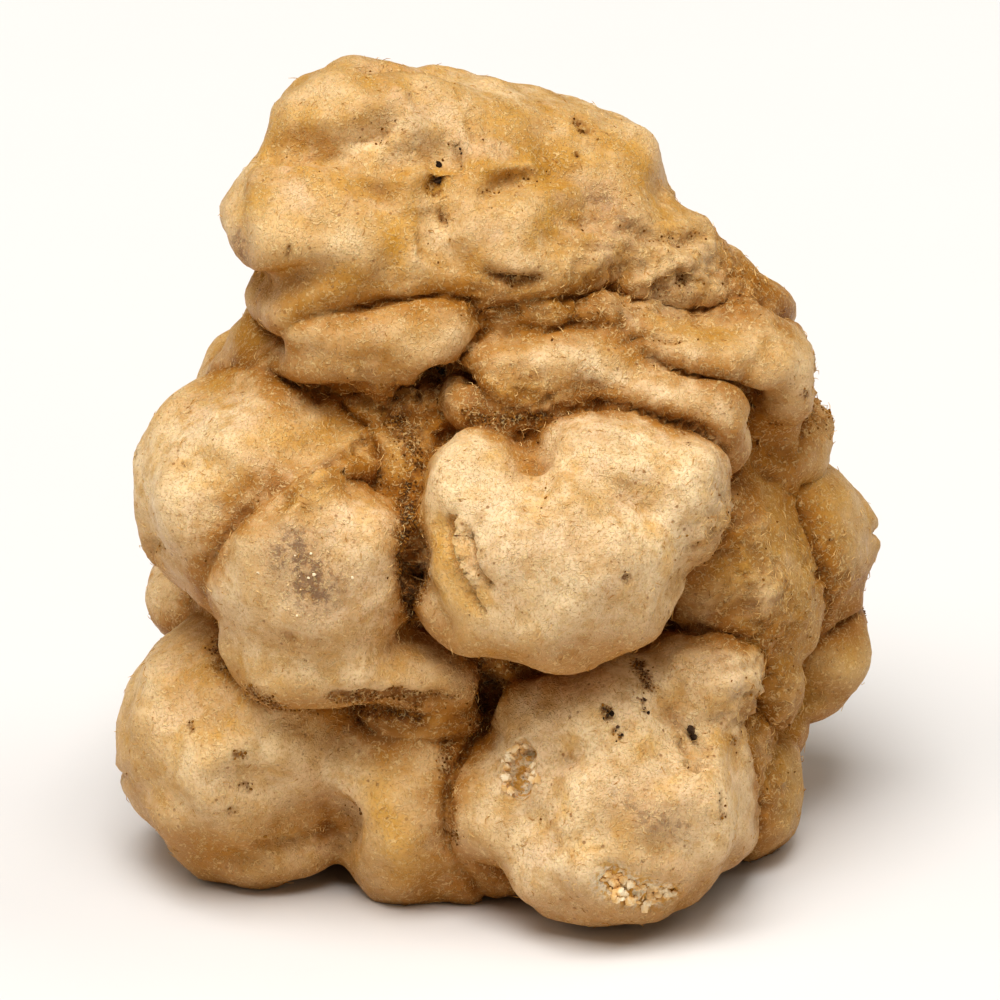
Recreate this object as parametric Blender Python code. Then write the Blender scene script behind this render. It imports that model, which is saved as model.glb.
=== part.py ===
"""White truffle: one grown, knobbly body of lobes pressed together, with deep creases between its folds.

The body is one solid. Balls and eggs of flesh, in millimetres, are fused by a voxel remesh; the skin then
settles on a rounded blend of them, where lobes of one fold melt into each other and two folds meet in a
crease. Low points are cut flat at the floor, so that the truffle rests on small flat spots.

Frame: +Z up, the face with the two great balls looks along -Y, origin at the bottom centre of the box.
"""

from typing import NamedTuple

import bmesh
import bpy
import numpy as np
from mathutils import Matrix

MM = 0.001
NODE_NAME = "truffle"
SKIN_TRIANGLES = 11400

# The power in a lobe's shape: 2 makes a true egg, and more makes one pressed squarer by its neighbours.
FULLNESS = 2.2

# Fusing and settling of the skin, in millimetres.
ROUGH_VOXEL = 1.0
BALL_SUBDIVISIONS = 3
SETTLE_ROUNDS = 6
SLOPE_STEP = 0.15
LONGEST_SETTLE_STEP = 1.2
LEAST_SQUARED_SLOPE = 0.3
EVEN_SHARE = 0.35
TINY = 1e-6

# Folds melt into each other over the blend, and the skin dips into a narrow groove where two of them meet,
# by this share of their grooves' depth.
FOLD_BLEND = 2.2
GROOVE_WIDTH = 0.9
GROOVE_SHARE = 0.7

# Slow swelling of the skin, as (wavelength, height) in millimetres.
SWELLS = ((22.0, 0.60), (10.0, 0.38), (5.5, 0.16))
WAVES_PER_SWELL = 14
WAVELENGTH_SPREAD = (0.75, 1.35)
SEED = 7

# The folds are bent slowly sideways by this much, each axis with noise of its own.
WARP_WAVELENGTH = 17.0
WARP_REACH = 0.6
WARP_STREAMS = (11, 12, 13)

# The low points are cut flat this far above the lowest of them.
PRESSED_FLAT = 0.8


class Lobe(NamedTuple):
    """An egg of flesh: centre and half-sizes in mm, and its tilt about Y in degrees."""

    at: tuple
    radii: tuple
    tilt: float = 0.0


class Fold(NamedTuple):
    """Lobes that melt into each other over the distance blend, in mm.

    The skin dips by about the groove's depth, in mm, where it meets another fold.
    """

    name: str
    blend: float
    lobes: tuple
    groove: float = 1.3


CROWN = Fold("crown", 3.5, (
    Lobe((-13.2, 5.0, 74.6), (9.4, 9.5, 5.9)),
    Lobe((-17.5, -1.0, 67.6), (10.0, 10.5, 6.0)),
    Lobe((-18.4, -1.5, 60.0), (6.6, 8.6, 4.6), tilt=-20),
    Lobe((-5.5, 5.5, 74.6), (8.0, 8.5, 4.2), tilt=6),
    Lobe((3.0, 9.0, 71.2), (11.2, 9.5, 5.2), tilt=12),
    Lobe((12.4, 12.0, 68.4), (2.6, 4.0, 2.8)),
    Lobe((11.4, 5.0, 66.0), (4.4, 7.5, 6.0)),
    Lobe((2.5, -1.5, 64.6), (9.2, 8.0, 4.4)),
    Lobe((-3.5, 1.0, 66.2), (8.0, 10.0, 6.2)),
    Lobe((-6.5, -1.2, 63.0), (8.0, 8.0, 3.6), tilt=14),
    Lobe((-12.5, -1.6, 63.2), (7.6, 8.2, 3.4), tilt=-12),
    Lobe((-5.0, 7.0, 65.0), (15.5, 14.0, 8.5)),
    Lobe((18.4, 6.0, 57.8), (8.0, 8.6, 4.4), tilt=36),
    Lobe((16.6, 2.2, 59.4), (5.8, 5.4, 3.0), tilt=-18),
    Lobe((14.6, 3.4, 62.4), (4.6, 6.0, 3.4)),
    Lobe((24.2, 4.0, 55.0), (4.2, 5.8, 3.0), tilt=38),
))
BORDER = Fold("border", 0.8, (
    Lobe((4.0, -7.0, 60.8), (3.0, 2.6, 1.4)),
    Lobe((9.0, -6.0, 59.8), (2.8, 2.6, 1.4)),
    Lobe((-1.5, -7.0, 60.0), (2.2, 2.4, 1.2)),
), groove=0.5)
UPPER_FINGER = Fold("upper finger", 2.4, (
    Lobe((17.6, -2.2, 56.6), (9.4, 7.4, 3.3), tilt=3),
    Lobe((24.4, -0.2, 53.2), (6.0, 7.2, 3.9), tilt=30),
    Lobe((27.4, 1.6, 48.8), (5.0, 6.4, 5.2)),
    Lobe((25.2, 3.0, 44.8), (3.2, 4.6, 3.6)),
))
LOWER_FINGER = Fold("lower finger", 2.6, (
    Lobe((4.5, -6.0, 56.0), (9.6, 7.5, 2.9)),
    Lobe((5.5, -5.4, 52.2), (9.6, 8.6, 3.9)),
    Lobe((14.8, -6.2, 52.4), (8.0, 7.8, 3.2), tilt=12),
    Lobe((19.6, -4.6, 50.0), (3.7, 6.6, 3.7)),
    Lobe((21.2, -4.0, 46.4), (3.4, 6.2, 5.0), tilt=-17),
))
COLLAR = Fold("collar", 2.0, (
    Lobe((-12.4, -5.6, 59.2), (9.8, 7.8, 3.4), tilt=-9),
    Lobe((-12.4, -4.8, 55.6), (9.8, 8.2, 3.1), tilt=-9),
    Lobe((-7.2, -5.4, 58.8), (5.8, 7.6, 3.6), tilt=12),
))
NAPE = Fold("nape", 1.0, (
    Lobe((-22.5, 12.5, 44.4), (7.4, 9.5, 5.4)),
))
LEFT_CURDS = Fold("left curds", 0.7, (
    Lobe((-9.6, -7.2, 51.0), (2.6, 2.6, 2.0)),
    Lobe((-6.4, -7.4, 50.0), (2.4, 2.4, 2.2)),
    Lobe((-12.6, -6.8, 49.6), (2.4, 2.4, 1.8)),
    Lobe((-4.6, -6.8, 47.4), (2.2, 2.2, 2.4)),
), groove=0.5)
RIGHT_CURDS = Fold("right curds", 0.8, (
    Lobe((-2.2, -10.4, 51.3), (2.8, 2.8, 2.4)),
    Lobe((1.4, -11.6, 51.0), (2.6, 2.4, 2.0)),
    Lobe((4.6, -11.4, 50.6), (2.8, 2.6, 1.9)),
    Lobe((0.0, -11.0, 48.4), (2.2, 2.2, 1.6)),
), groove=0.5)
LEFT_BALL = Fold("left ball", 0.9, (
    Lobe((-23.4, -6.0, 40.2), (13.6, 12.6, 12.2)),
))
LEFT_CHEEK = Fold("left cheek", 1.4, (
    Lobe((-17.8, -17.2, 36.2), (9.5, 8.8, 9.4)),
    Lobe((-17.6, -15.8, 28.0), (9.3, 8.5, 5.6)),
    Lobe((-9.6, -15.0, 25.8), (7.6, 6.5, 4.2), tilt=24),
), groove=0.2)
LIP = Fold("lip", 0.8, (
    Lobe((-8.6, -14.0, 20.4), (6.2, 5.2, 2.0), tilt=4),
), groove=0.6)
FRONT_BALL = Fold("front ball", 1.1, (
    Lobe((4.5, -19.0, 38.2), (13.3, 11.2, 10.2)),
    Lobe((-2.0, -17.6, 44.6), (6.2, 7.6, 5.2)),
    Lobe((15.8, -12.6, 43.2), (6.8, 8.6, 7.2)),
    Lobe((10.5, -13.0, 47.4), (7.4, 8.0, 4.4)),
))
LOW_LEFT = Fold("low left", 2.2, (
    Lobe((-24.6, -7.0, 15.0), (13.4, 14.2, 12.4)),
    Lobe((-14.5, -9.4, 14.8), (9.0, 9.5, 8.2)),
    Lobe((-9.6, -11.8, 12.8), (8.8, 9.2, 8.4)),
    Lobe((-32.4, -2.0, 9.6), (4.2, 8.0, 4.4)),
    Lobe((-28.5, -3.0, 5.6), (5.0, 8.5, 4.6)),
    Lobe((-22.4, -8.5, 4.2), (7.0, 8.5, 3.9)),
    Lobe((-10.8, -12.0, 6.4), (6.2, 8.4, 6.0)),
    Lobe((-5.2, -11.0, 3.6), (3.0, 7.0, 3.0)),
))
LOW_STUBS = Fold("low stubs", 1.0, (
    Lobe((-0.8, -11.6, 5.7), (4.3, 7.0, 3.9)),
    Lobe((4.6, -12.4, 4.2), (2.6, 5.0, 2.4)),
))
LOW_RIGHT = Fold("low right", 1.6, (
    Lobe((11.4, -20.0, 11.2), (11.6, 11.2, 10.4)),
    Lobe((0.8, -17.6, 12.6), (5.4, 8.4, 6.8)),
    Lobe((9.4, -16.6, 20.2), (8.6, 9.0, 4.6)),
    Lobe((3.6, -14.6, 20.2), (5.6, 6.4, 5.0)),
    Lobe((20.2, -11.0, 22.6), (5.4, 8.0, 4.6)),
    Lobe((19.4, -14.0, 15.4), (5.4, 8.8, 8.0)),
    Lobe((22.6, -14.0, 8.4), (2.4, 6.0, 4.4)),
    Lobe((14.0, -19.4, 5.0), (7.4, 7.8, 4.7)),
))
FLANK = Fold("flank", 1.2, (
    Lobe((22.4, -3.4, 31.6), (7.6, 9.4, 11.8), tilt=-20),
    Lobe((28.6, 1.0, 24.2), (4.1, 6.5, 4.9)),
    Lobe((26.8, -3.0, 18.8), (3.7, 6.5, 5.4)),
))
FLANK_BEADS = Fold("flank beads", 0.4, (
    Lobe((24.0, -4.4, 40.6), (1.6, 1.6, 1.5)),
    Lobe((22.4, -5.4, 39.8), (1.0, 1.0, 1.0)),
), groove=0.5)
LOW_FLANK = Fold("low flank", 1.0, (
    Lobe((26.2, -2.0, 6.9), (4.4, 7.5, 6.1)),
    Lobe((21.5, -4.0, 14.0), (6.0, 9.0, 9.0)),
))
FAR_FLANK = Fold("far flank", 0.9, (
    Lobe((31.2, 10.0, 29.4), (6.2, 10.0, 9.2), tilt=-30),
    Lobe((30.3, 8.0, 41.2), (2.7, 4.4, 2.7)),
    Lobe((28.4, 6.0, 41.0), (1.8, 3.0, 2.0)),
))
FAR_FOOT = Fold("far foot", 1.0, (
    Lobe((31.0, 11.0, 17.4), (6.6, 9.0, 5.2)),
    Lobe((28.6, 10.0, 13.4), (5.6, 8.0, 3.0)),
))
FAR_LEFT = Fold("far left", 1.0, (
    Lobe((-28.6, 8.0, 23.2), (6.2, 10.0, 4.2)),
))
BACK_LEFT = Fold("back left", 1.6, (
    Lobe((-16.5, 18.0, 35.0), (13.5, 12.5, 13.0)),
    Lobe((-23.0, 15.0, 22.0), (9.5, 11.5, 9.5)),
    Lobe((-9.0, 24.5, 26.0), (9.0, 7.5, 9.0)),
))
BACK_RIGHT = Fold("back right", 1.6, (
    Lobe((14.0, 20.0, 40.0), (13.5, 12.0, 12.5)),
    Lobe((21.0, 16.5, 27.0), (10.0, 10.5, 9.5)),
    Lobe((7.0, 26.0, 32.0), (8.0, 6.5, 8.5)),
))
BACK_FOOT = Fold("back foot", 1.6, (
    Lobe((2.0, 20.5, 12.8), (14.0, 12.5, 12.8)),
    Lobe((-14.0, 17.5, 9.3), (10.5, 11.0, 9.8)),
    Lobe((17.5, 16.5, 11.0), (10.5, 10.5, 10.7)),
))
BACK_CROWN = Fold("back crown", 1.8, (
    Lobe((-9.0, 16.5, 58.5), (11.0, 10.0, 9.6)),
    Lobe((5.0, 17.5, 57.0), (11.0, 9.5, 8.4)),
))
BACK_NECK = Fold("back neck", 1.2, (
    Lobe((-2.0, 22.0, 49.0), (9.5, 7.5, 7.5)),
    Lobe((-14.0, 22.0, 46.0), (7.0, 6.0, 5.0), tilt=-20),
    Lobe((21.0, 17.0, 50.0), (5.5, 6.5, 4.5)),
))
UNDERSIDE = Fold("underside", 1.4, (
    Lobe((5.0, 1.0, 7.0), (10.0, 9.0, 5.6)),
    Lobe((-11.0, 4.0, 7.2), (9.5, 8.0, 5.4)),
))
CORE = Fold("core", 3.0, (
    Lobe((-1.0, 5.0, 17.0), (28.0, 17.0, 13.0)),
    Lobe((0.0, 4.5, 34.0), (27.0, 17.5, 17.0)),
    Lobe((0.0, 13.0, 33.0), (23.0, 14.0, 22.0)),
    Lobe((0.0, 10.0, 53.0), (18.5, 14.5, 12.0)),
    Lobe((-9.0, -9.4, 38.0), (5.0, 8.0, 11.0)),
    Lobe((-2.0, -9.5, 25.0), (8.0, 7.0, 8.0)),
    Lobe((-19.0, 3.0, 49.0), (8.5, 9.0, 7.0)),
    Lobe((-22.0, 2.0, 27.0), (9.0, 12.0, 7.0)),
    Lobe((22.0, 4.0, 45.0), (7.0, 7.0, 7.0)),
    Lobe((26.0, 8.5, 38.5), (4.0, 4.0, 4.0)),
    Lobe((-16.5, 5.5, 57.5), (4.0, 4.0, 4.0)),
    Lobe((-4.0, -4.6, 6.0), (4.0, 4.0, 4.0)),
    Lobe((26.6, 3.0, 10.6), (4.0, 4.0, 4.0)),
), groove=0.3)
FOLDS = (
    CROWN, BORDER, UPPER_FINGER, LOWER_FINGER, COLLAR, NAPE, LEFT_CURDS, RIGHT_CURDS, LEFT_BALL, LEFT_CHEEK,
    LIP, FRONT_BALL, LOW_LEFT, LOW_STUBS, LOW_RIGHT, FLANK, FLANK_BEADS, LOW_FLANK, FAR_FLANK, FAR_FOOT,
    FAR_LEFT, BACK_LEFT, BACK_RIGHT, BACK_FOOT, BACK_CROWN, BACK_NECK, UNDERSIDE, CORE,
)


def clear_scene():
    """Removes every object, also those of Blender's startup scene."""
    for obj in list(bpy.data.objects):
        bpy.data.objects.remove(obj)


def lobe_matrix(lobe):
    """The matrix that makes a unit ball into this lobe, in mm."""
    tilted = Matrix.Rotation(np.radians(lobe.tilt), 4, "Y")
    return Matrix.Translation(lobe.at) @ tilted @ Matrix.Diagonal((*lobe.radii, 1.0))


def rough_body():
    """All lobes as balls and eggs, fused into one closed skin by a voxel remesh."""
    bm = bmesh.new()
    for fold in FOLDS:
        for lobe in fold.lobes:
            bmesh.ops.create_icosphere(
                bm, subdivisions=BALL_SUBDIVISIONS, radius=1.0,
                matrix=Matrix.Scale(MM, 4) @ lobe_matrix(lobe),
            )
    mesh = bpy.data.meshes.new(NODE_NAME)
    bm.to_mesh(mesh)
    bm.free()
    body = bpy.data.objects.new(NODE_NAME, mesh)
    bpy.context.scene.collection.objects.link(body)
    fuse = body.modifiers.new("fuse", "REMESH")
    fuse.mode = "VOXEL"
    fuse.voxel_size = ROUGH_VOXEL * MM
    apply_modifiers(body)
    return body


def apply_modifiers(body):
    """Gives the object the mesh that its modifiers make, and removes them."""
    graph = bpy.context.evaluated_depsgraph_get()
    made = bpy.data.meshes.new_from_object(body.evaluated_get(graph))
    body.modifiers.clear()
    body.data = made


def ripples(points, wavelength, stream):
    """Smooth noise of about -1 to 1: plane waves of this length in seeded directions, added up."""
    draw = np.random.default_rng([SEED, stream])
    ways = draw.normal(size=(WAVES_PER_SWELL, 3))
    ways /= np.linalg.norm(ways, axis=1, keepdims=True)
    pitch = 2 * np.pi / (wavelength * draw.uniform(*WAVELENGTH_SPREAD, WAVES_PER_SWELL))
    phase = draw.uniform(0, 2 * np.pi, WAVES_PER_SWELL)
    return np.sin(points @ (ways * pitch[:, None]).T + phase).sum(axis=1) / np.sqrt(WAVES_PER_SWELL)


def blend_down(distances, blend):
    """The smallest of the rows, rounded where others come within the blend distance of it."""
    least = distances.min(axis=0)
    near = np.clip(blend - (distances - least), 0, None) ** 2 / (4 * blend)
    return least - (near.sum(axis=0) - blend / 4)


def lobe_distance(points, lobe):
    """About how far each point lies outside the lobe, in mm, negative inside it."""
    tilted = Matrix.Rotation(np.radians(lobe.tilt), 3, "Y")
    radii = np.array(lobe.radii)
    share = np.abs((points - np.array(lobe.at)) @ np.array(tilted)) / radii + TINY
    reach = (share**FULLNESS).sum(axis=1) ** (1 / FULLNESS)
    slope = np.linalg.norm((share / reach[:, None]) ** (FULLNESS - 1) / radii, axis=1)
    return (reach - 1) / slope


def skin_height(points):
    """The skin is where this is 0: about the distance from the skin, in mm, positive outside."""
    warp = np.stack([ripples(points, WARP_WAVELENGTH, stream) for stream in WARP_STREAMS], axis=1)
    warped = points + WARP_REACH * warp
    folds = np.stack([
        blend_down(np.stack([lobe_distance(warped, lobe) for lobe in fold.lobes]), fold.blend)
        for fold in FOLDS
    ])
    order = np.argsort(folds, axis=0)[:2]
    first, second = np.take_along_axis(folds, order, axis=0)
    depth = np.array([fold.groove for fold in FOLDS])[order].mean(axis=0)
    groove = GROOVE_SHARE * depth * np.exp(-(((second - first) / GROOVE_WIDTH) ** 2))
    swell = sum(height * ripples(points, length, stream) for stream, (length, height) in enumerate(SWELLS))
    return blend_down(folds, FOLD_BLEND) + groove - swell


def settle_step(points):
    """How far each point has to move to lie on the skin, along the skin's slope, in mm."""
    height = skin_height(points)
    corners = np.array([(1, 1, 1), (1, -1, -1), (-1, 1, -1), (-1, -1, 1)], float) / np.sqrt(3)
    slope = sum(skin_height(points + SLOPE_STEP * c)[:, None] * c for c in corners) * 0.75 / SLOPE_STEP
    steep = np.maximum((slope**2).sum(axis=1), LEAST_SQUARED_SLOPE)
    step = -slope * (height / steep)[:, None]
    length = np.maximum(np.linalg.norm(step, axis=1), TINY)
    return step * np.minimum(1, LONGEST_SETTLE_STEP / length)[:, None]


def neighbour_means(points, edges):
    """The mean of each point's neighbours."""
    count = np.bincount(edges.ravel(), minlength=len(points))[:, None]
    total = np.stack([
        np.bincount(edges[:, 0], points[edges[:, 1], k], len(points))
        + np.bincount(edges[:, 1], points[edges[:, 0], k], len(points))
        for k in range(3)
    ], axis=1)
    return total / np.maximum(count, 1)


def settle(body):
    """Moves the skin of the fused balls onto the blended form, evening out its points on the way."""
    mesh = body.data
    points = np.empty(len(mesh.vertices) * 3, np.float32)
    mesh.vertices.foreach_get("co", points)
    points = points.reshape(-1, 3).astype(float) / MM
    edges = np.empty(len(mesh.edges) * 2, np.int32)
    mesh.edges.foreach_get("vertices", edges)
    edges = edges.reshape(-1, 2)
    for _ in range(SETTLE_ROUNDS):
        points += EVEN_SHARE * (neighbour_means(points, edges) - points)
        points += settle_step(points)
    points += settle_step(points)
    return points


def stand_on_floor(points):
    """Moves the skin so that the origin is at the bottom centre of its box once it is cut at the floor."""
    low, high = points.min(axis=0), points.max(axis=0)
    return points - np.array(((low[0] + high[0]) / 2, (low[1] + high[1]) / 2, low[2] + PRESSED_FLAT))


def cut_at_floor(body):
    """Cuts the low points off flat at the floor, and closes each cut with one face."""
    bm = bmesh.new()
    bm.from_mesh(body.data)
    cut = bmesh.ops.bisect_plane(
        bm, geom=bm.verts[:] + bm.edges[:] + bm.faces[:],
        plane_co=(0, 0, 0), plane_no=(0, 0, 1), clear_inner=True,
    )
    rims = [item for item in cut["geom_cut"] if isinstance(item, bmesh.types.BMEdge)]
    bmesh.ops.edgeloop_fill(bm, edges=rims)
    bmesh.ops.recalc_face_normals(bm, faces=bm.faces[:])
    bm.to_mesh(body.data)
    bm.free()


def skin_material():
    """Pale ochre peridium, matt and faintly waxy."""
    material = bpy.data.materials.new("peridium")
    material.use_nodes = True
    shader = material.node_tree.nodes["Principled BSDF"]
    shader.inputs["Base Color"].default_value = (0.60, 0.40, 0.19, 1.0)
    shader.inputs["Roughness"].default_value = 0.62
    shader.inputs["Metallic"].default_value = 0.0
    return material


def build_truffle():
    """The whole truffle, as one closed solid."""
    body = rough_body()
    points = stand_on_floor(settle(body))
    body.data.vertices.foreach_set("co", (points * MM).astype(np.float32).ravel())
    body.data.update()
    thin = body.modifiers.new("thin", "DECIMATE")
    thin.ratio = SKIN_TRIANGLES / sum(len(face.vertices) - 2 for face in body.data.polygons)
    apply_modifiers(body)
    cut_at_floor(body)
    body.data.shade_smooth()
    body.data.materials.append(skin_material())
    return body


def main():
    clear_scene()
    build_truffle()


if __name__ == "__main__":
    main()
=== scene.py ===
"""White truffle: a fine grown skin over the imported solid, with soil, grains, short fibres and torn flesh.

Sizes in the classes are millimetres, and meshes are made in metres. +Z is up, and the front looks along -Y.
"""

import logging
import math
from dataclasses import dataclass
from enum import Enum
from functools import partial

import bmesh
import bpy
import numpy as np
from mathutils import Euler, Matrix, Vector, noise
from mathutils.bvhtree import BVHTree


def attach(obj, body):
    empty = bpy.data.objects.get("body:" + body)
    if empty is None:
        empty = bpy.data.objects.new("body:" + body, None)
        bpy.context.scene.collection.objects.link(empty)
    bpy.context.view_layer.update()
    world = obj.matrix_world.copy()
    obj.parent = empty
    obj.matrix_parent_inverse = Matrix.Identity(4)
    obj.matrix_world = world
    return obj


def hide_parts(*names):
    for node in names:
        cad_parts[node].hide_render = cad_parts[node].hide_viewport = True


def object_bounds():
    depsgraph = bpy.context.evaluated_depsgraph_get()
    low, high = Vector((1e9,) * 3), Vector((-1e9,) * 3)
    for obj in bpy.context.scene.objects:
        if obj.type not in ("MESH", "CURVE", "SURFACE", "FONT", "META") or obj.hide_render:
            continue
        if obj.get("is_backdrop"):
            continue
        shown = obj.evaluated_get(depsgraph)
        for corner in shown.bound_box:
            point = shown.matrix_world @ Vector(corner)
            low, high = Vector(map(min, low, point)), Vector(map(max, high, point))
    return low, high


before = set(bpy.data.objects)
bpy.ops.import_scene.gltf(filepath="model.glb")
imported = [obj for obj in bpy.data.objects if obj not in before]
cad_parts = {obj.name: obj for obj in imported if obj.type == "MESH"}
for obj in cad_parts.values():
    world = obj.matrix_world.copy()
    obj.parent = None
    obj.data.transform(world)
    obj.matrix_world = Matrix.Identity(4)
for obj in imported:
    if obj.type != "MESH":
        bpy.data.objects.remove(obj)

LOG = logging.getLogger("truffle")
MM = 0.001
NODE = "truffle"
# The grown form's own origin in the solid's frame, in mm.
FORM_ORIGIN = (0.243, -1.103, -0.183)

# How finely a line on the skin is drawn, how far off its rays start, and how it wavers, in mm.
LINE_STEP = 0.35
FAR_OFF = 200.0
WAVER = 0.35
WAVER_PITCH = 0.7
WAVER_SEED = 5.0
# The least length that a direction is divided by.
TINY = 1e-9
# Where a Mix node keeps its share, its two colours and its result.
MIX_SHARE, MIX_FIRST, MIX_SECOND, MIX_RESULT = 0, 6, 7, 2
SOIL_GRAINS = 4200
FELT_FIBRES = 5000

Array = np.ndarray
Socket = bpy.types.NodeSocket
Triple = tuple[float, float, float]
Colour = Triple
Line = tuple[tuple[float, float], ...]


def opaque(colour: Colour) -> tuple[float, ...]:
    """The colour with an alpha of one."""
    return (*colour, 1.0)


def stand(name: str, data: bpy.types.ID) -> bpy.types.Object:
    """Puts an object that holds this mesh, light or camera into the scene."""
    made = bpy.data.objects.new(name, data)
    bpy.context.scene.collection.objects.link(made)
    return made


def smoothstep(low: float, high: float, values: Array) -> Array:
    """Rises smoothly from 0 at the low value to 1 at the high one.

    Args:
        low: The value at and below which the result is 0.
        high: The value at and above which the result is 1.
        values: The values to map.

    Returns:
        An array of the same shape, from 0 to 1.
    """
    share = np.clip((values - low) / (high - low), 0.0, 1.0)
    return share * share * (3.0 - 2.0 * share)


@dataclass(frozen=True)
class Lobe:
    """An egg of flesh: centre and half-sizes in mm, tilt about Y in degrees."""

    at: Triple
    radii: Triple
    tilt: float = 0.0


@dataclass(frozen=True)
class Fold:
    """Lobes that melt into each other over the distance blend, in mm.

    The skin dips by about the groove's depth, in mm, where it meets another fold. A positive tone is paler
    than the rest of the skin, and a negative one browner: partly the fold's own colour, and partly painted
    shade on the low, far-side and tucked-in folds.
    """

    blend: float
    lobes: tuple[Lobe, ...]
    groove: float = 1.3
    tone: float = 0.0


CROWN = Fold(3.5, (
    Lobe((-13.2, 5, 74.6), (9.4, 9.5, 5.9)),
    Lobe((-17.5, -1, 67.6), (10, 10.5, 6)),
    Lobe((-18.4, -1.5, 60), (6.6, 8.6, 4.6), tilt=-20),
    Lobe((-5.5, 5.5, 74.6), (8, 8.5, 4.2), tilt=6),
    Lobe((3, 9, 71.2), (11.2, 9.5, 5.2), tilt=12),
    Lobe((12.4, 12, 68.4), (2.6, 4, 2.8)),
    Lobe((11.4, 5, 66), (4.4, 7.5, 6)),
    Lobe((2.5, -1.5, 64.6), (9.2, 8, 4.4)),
    Lobe((-3.5, 1, 66.2), (8, 10, 6.2)),
    Lobe((-6.5, -1.2, 63), (8, 8, 3.6), tilt=14),
    Lobe((-12.5, -1.6, 63.2), (7.6, 8.2, 3.4), tilt=-12),
    Lobe((-5, 7, 65), (15.5, 14, 8.5)),
    Lobe((18.4, 6, 57.8), (8, 8.6, 4.4), tilt=36),
    Lobe((16.6, 2.2, 59.4), (5.8, 5.4, 3), tilt=-18),
    Lobe((14.6, 3.4, 62.4), (4.6, 6, 3.4)),
    Lobe((24.2, 4, 55), (4.2, 5.8, 3), tilt=38),
), tone=-0.25)
BORDER = Fold(0.8, (
    Lobe((4, -7, 60.8), (3, 2.6, 1.4)),
    Lobe((9, -6, 59.8), (2.8, 2.6, 1.4)),
    Lobe((-1.5, -7, 60), (2.2, 2.4, 1.2)),
), groove=0.5, tone=-0.5)
UPPER_FINGER = Fold(2.4, (
    Lobe((17.6, -2.2, 56.6), (9.4, 7.4, 3.3), tilt=3),
    Lobe((24.4, -0.2, 53.2), (6, 7.2, 3.9), tilt=30),
    Lobe((27.4, 1.6, 48.8), (5, 6.4, 5.2)),
    Lobe((25.2, 3, 44.8), (3.2, 4.6, 3.6)),
), tone=-0.1)
LOWER_FINGER = Fold(2.6, (
    Lobe((4.5, -6, 56), (9.6, 7.5, 2.9)),
    Lobe((5.5, -5.4, 52.2), (9.6, 8.6, 3.9)),
    Lobe((14.8, -6.2, 52.4), (8, 7.8, 3.2), tilt=12),
    Lobe((19.6, -4.6, 50), (3.7, 6.6, 3.7)),
    Lobe((21.2, -4, 46.4), (3.4, 6.2, 5), tilt=-17),
), tone=0.05)
COLLAR = Fold(2, (
    Lobe((-12.4, -5.6, 59.2), (9.8, 7.8, 3.4), tilt=-9),
    Lobe((-12.4, -4.8, 55.6), (9.8, 8.2, 3.1), tilt=-9),
    Lobe((-7.2, -5.4, 58.8), (5.8, 7.6, 3.6), tilt=12),
), tone=-0.35)
NAPE = Fold(1, (
    Lobe((-22.5, 12.5, 44.4), (7.4, 9.5, 5.4)),
), tone=-0.3)
LEFT_CURDS = Fold(0.7, (
    Lobe((-9.6, -7.2, 51), (2.6, 2.6, 2)),
    Lobe((-6.4, -7.4, 50), (2.4, 2.4, 2.2)),
    Lobe((-12.6, -6.8, 49.6), (2.4, 2.4, 1.8)),
    Lobe((-4.6, -6.8, 47.4), (2.2, 2.2, 2.4)),
), groove=0.5, tone=-0.6)
RIGHT_CURDS = Fold(0.8, (
    Lobe((-2.2, -10.4, 51.3), (2.8, 2.8, 2.4)),
    Lobe((1.4, -11.6, 51), (2.6, 2.4, 2)),
    Lobe((4.6, -11.4, 50.6), (2.8, 2.6, 1.9)),
    Lobe((0, -11, 48.4), (2.2, 2.2, 1.6)),
), groove=0.5, tone=0.1)
LEFT_BALL = Fold(0.9, (
    Lobe((-23.4, -6, 40.2), (13.6, 12.6, 12.2)),
), tone=0.15)
LEFT_CHEEK = Fold(1.4, (
    Lobe((-17.8, -17.2, 36.2), (9.5, 8.8, 9.4)),
    Lobe((-17.6, -15.8, 28), (9.3, 8.5, 5.6)),
    Lobe((-9.6, -15, 25.8), (7.6, 6.5, 4.2), tilt=24),
), groove=0.2, tone=0.05)
LIP = Fold(0.8, (
    Lobe((-8.6, -14, 20.4), (6.2, 5.2, 2), tilt=4),
), groove=0.6, tone=-0.2)
FRONT_BALL = Fold(1.1, (
    Lobe((4.5, -19, 38.2), (13.3, 11.2, 10.2)),
    Lobe((-2, -17.6, 44.6), (6.2, 7.6, 5.2)),
    Lobe((15.8, -12.6, 43.2), (6.8, 8.6, 7.2)),
    Lobe((10.5, -13, 47.4), (7.4, 8, 4.4)),
), tone=0.35)
LOW_LEFT = Fold(2.2, (
    Lobe((-24.6, -7, 15), (13.4, 14.2, 12.4)),
    Lobe((-14.5, -9.4, 14.8), (9, 9.5, 8.2)),
    Lobe((-9.6, -11.8, 12.8), (8.8, 9.2, 8.4)),
    Lobe((-32.4, -2, 9.6), (4.2, 8, 4.4)),
    Lobe((-28.5, -3, 5.6), (5, 8.5, 4.6)),
    Lobe((-22.4, -8.5, 4.2), (7, 8.5, 3.9)),
    Lobe((-10.8, -12, 6.4), (6.2, 8.4, 6)),
    Lobe((-5.2, -11, 3.6), (3, 7, 3)),
), tone=-0.05)
LOW_STUBS = Fold(1, (
    Lobe((-0.8, -11.6, 5.7), (4.3, 7, 3.9)),
    Lobe((4.6, -12.4, 4.2), (2.6, 5, 2.4)),
), tone=-0.3)
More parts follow.
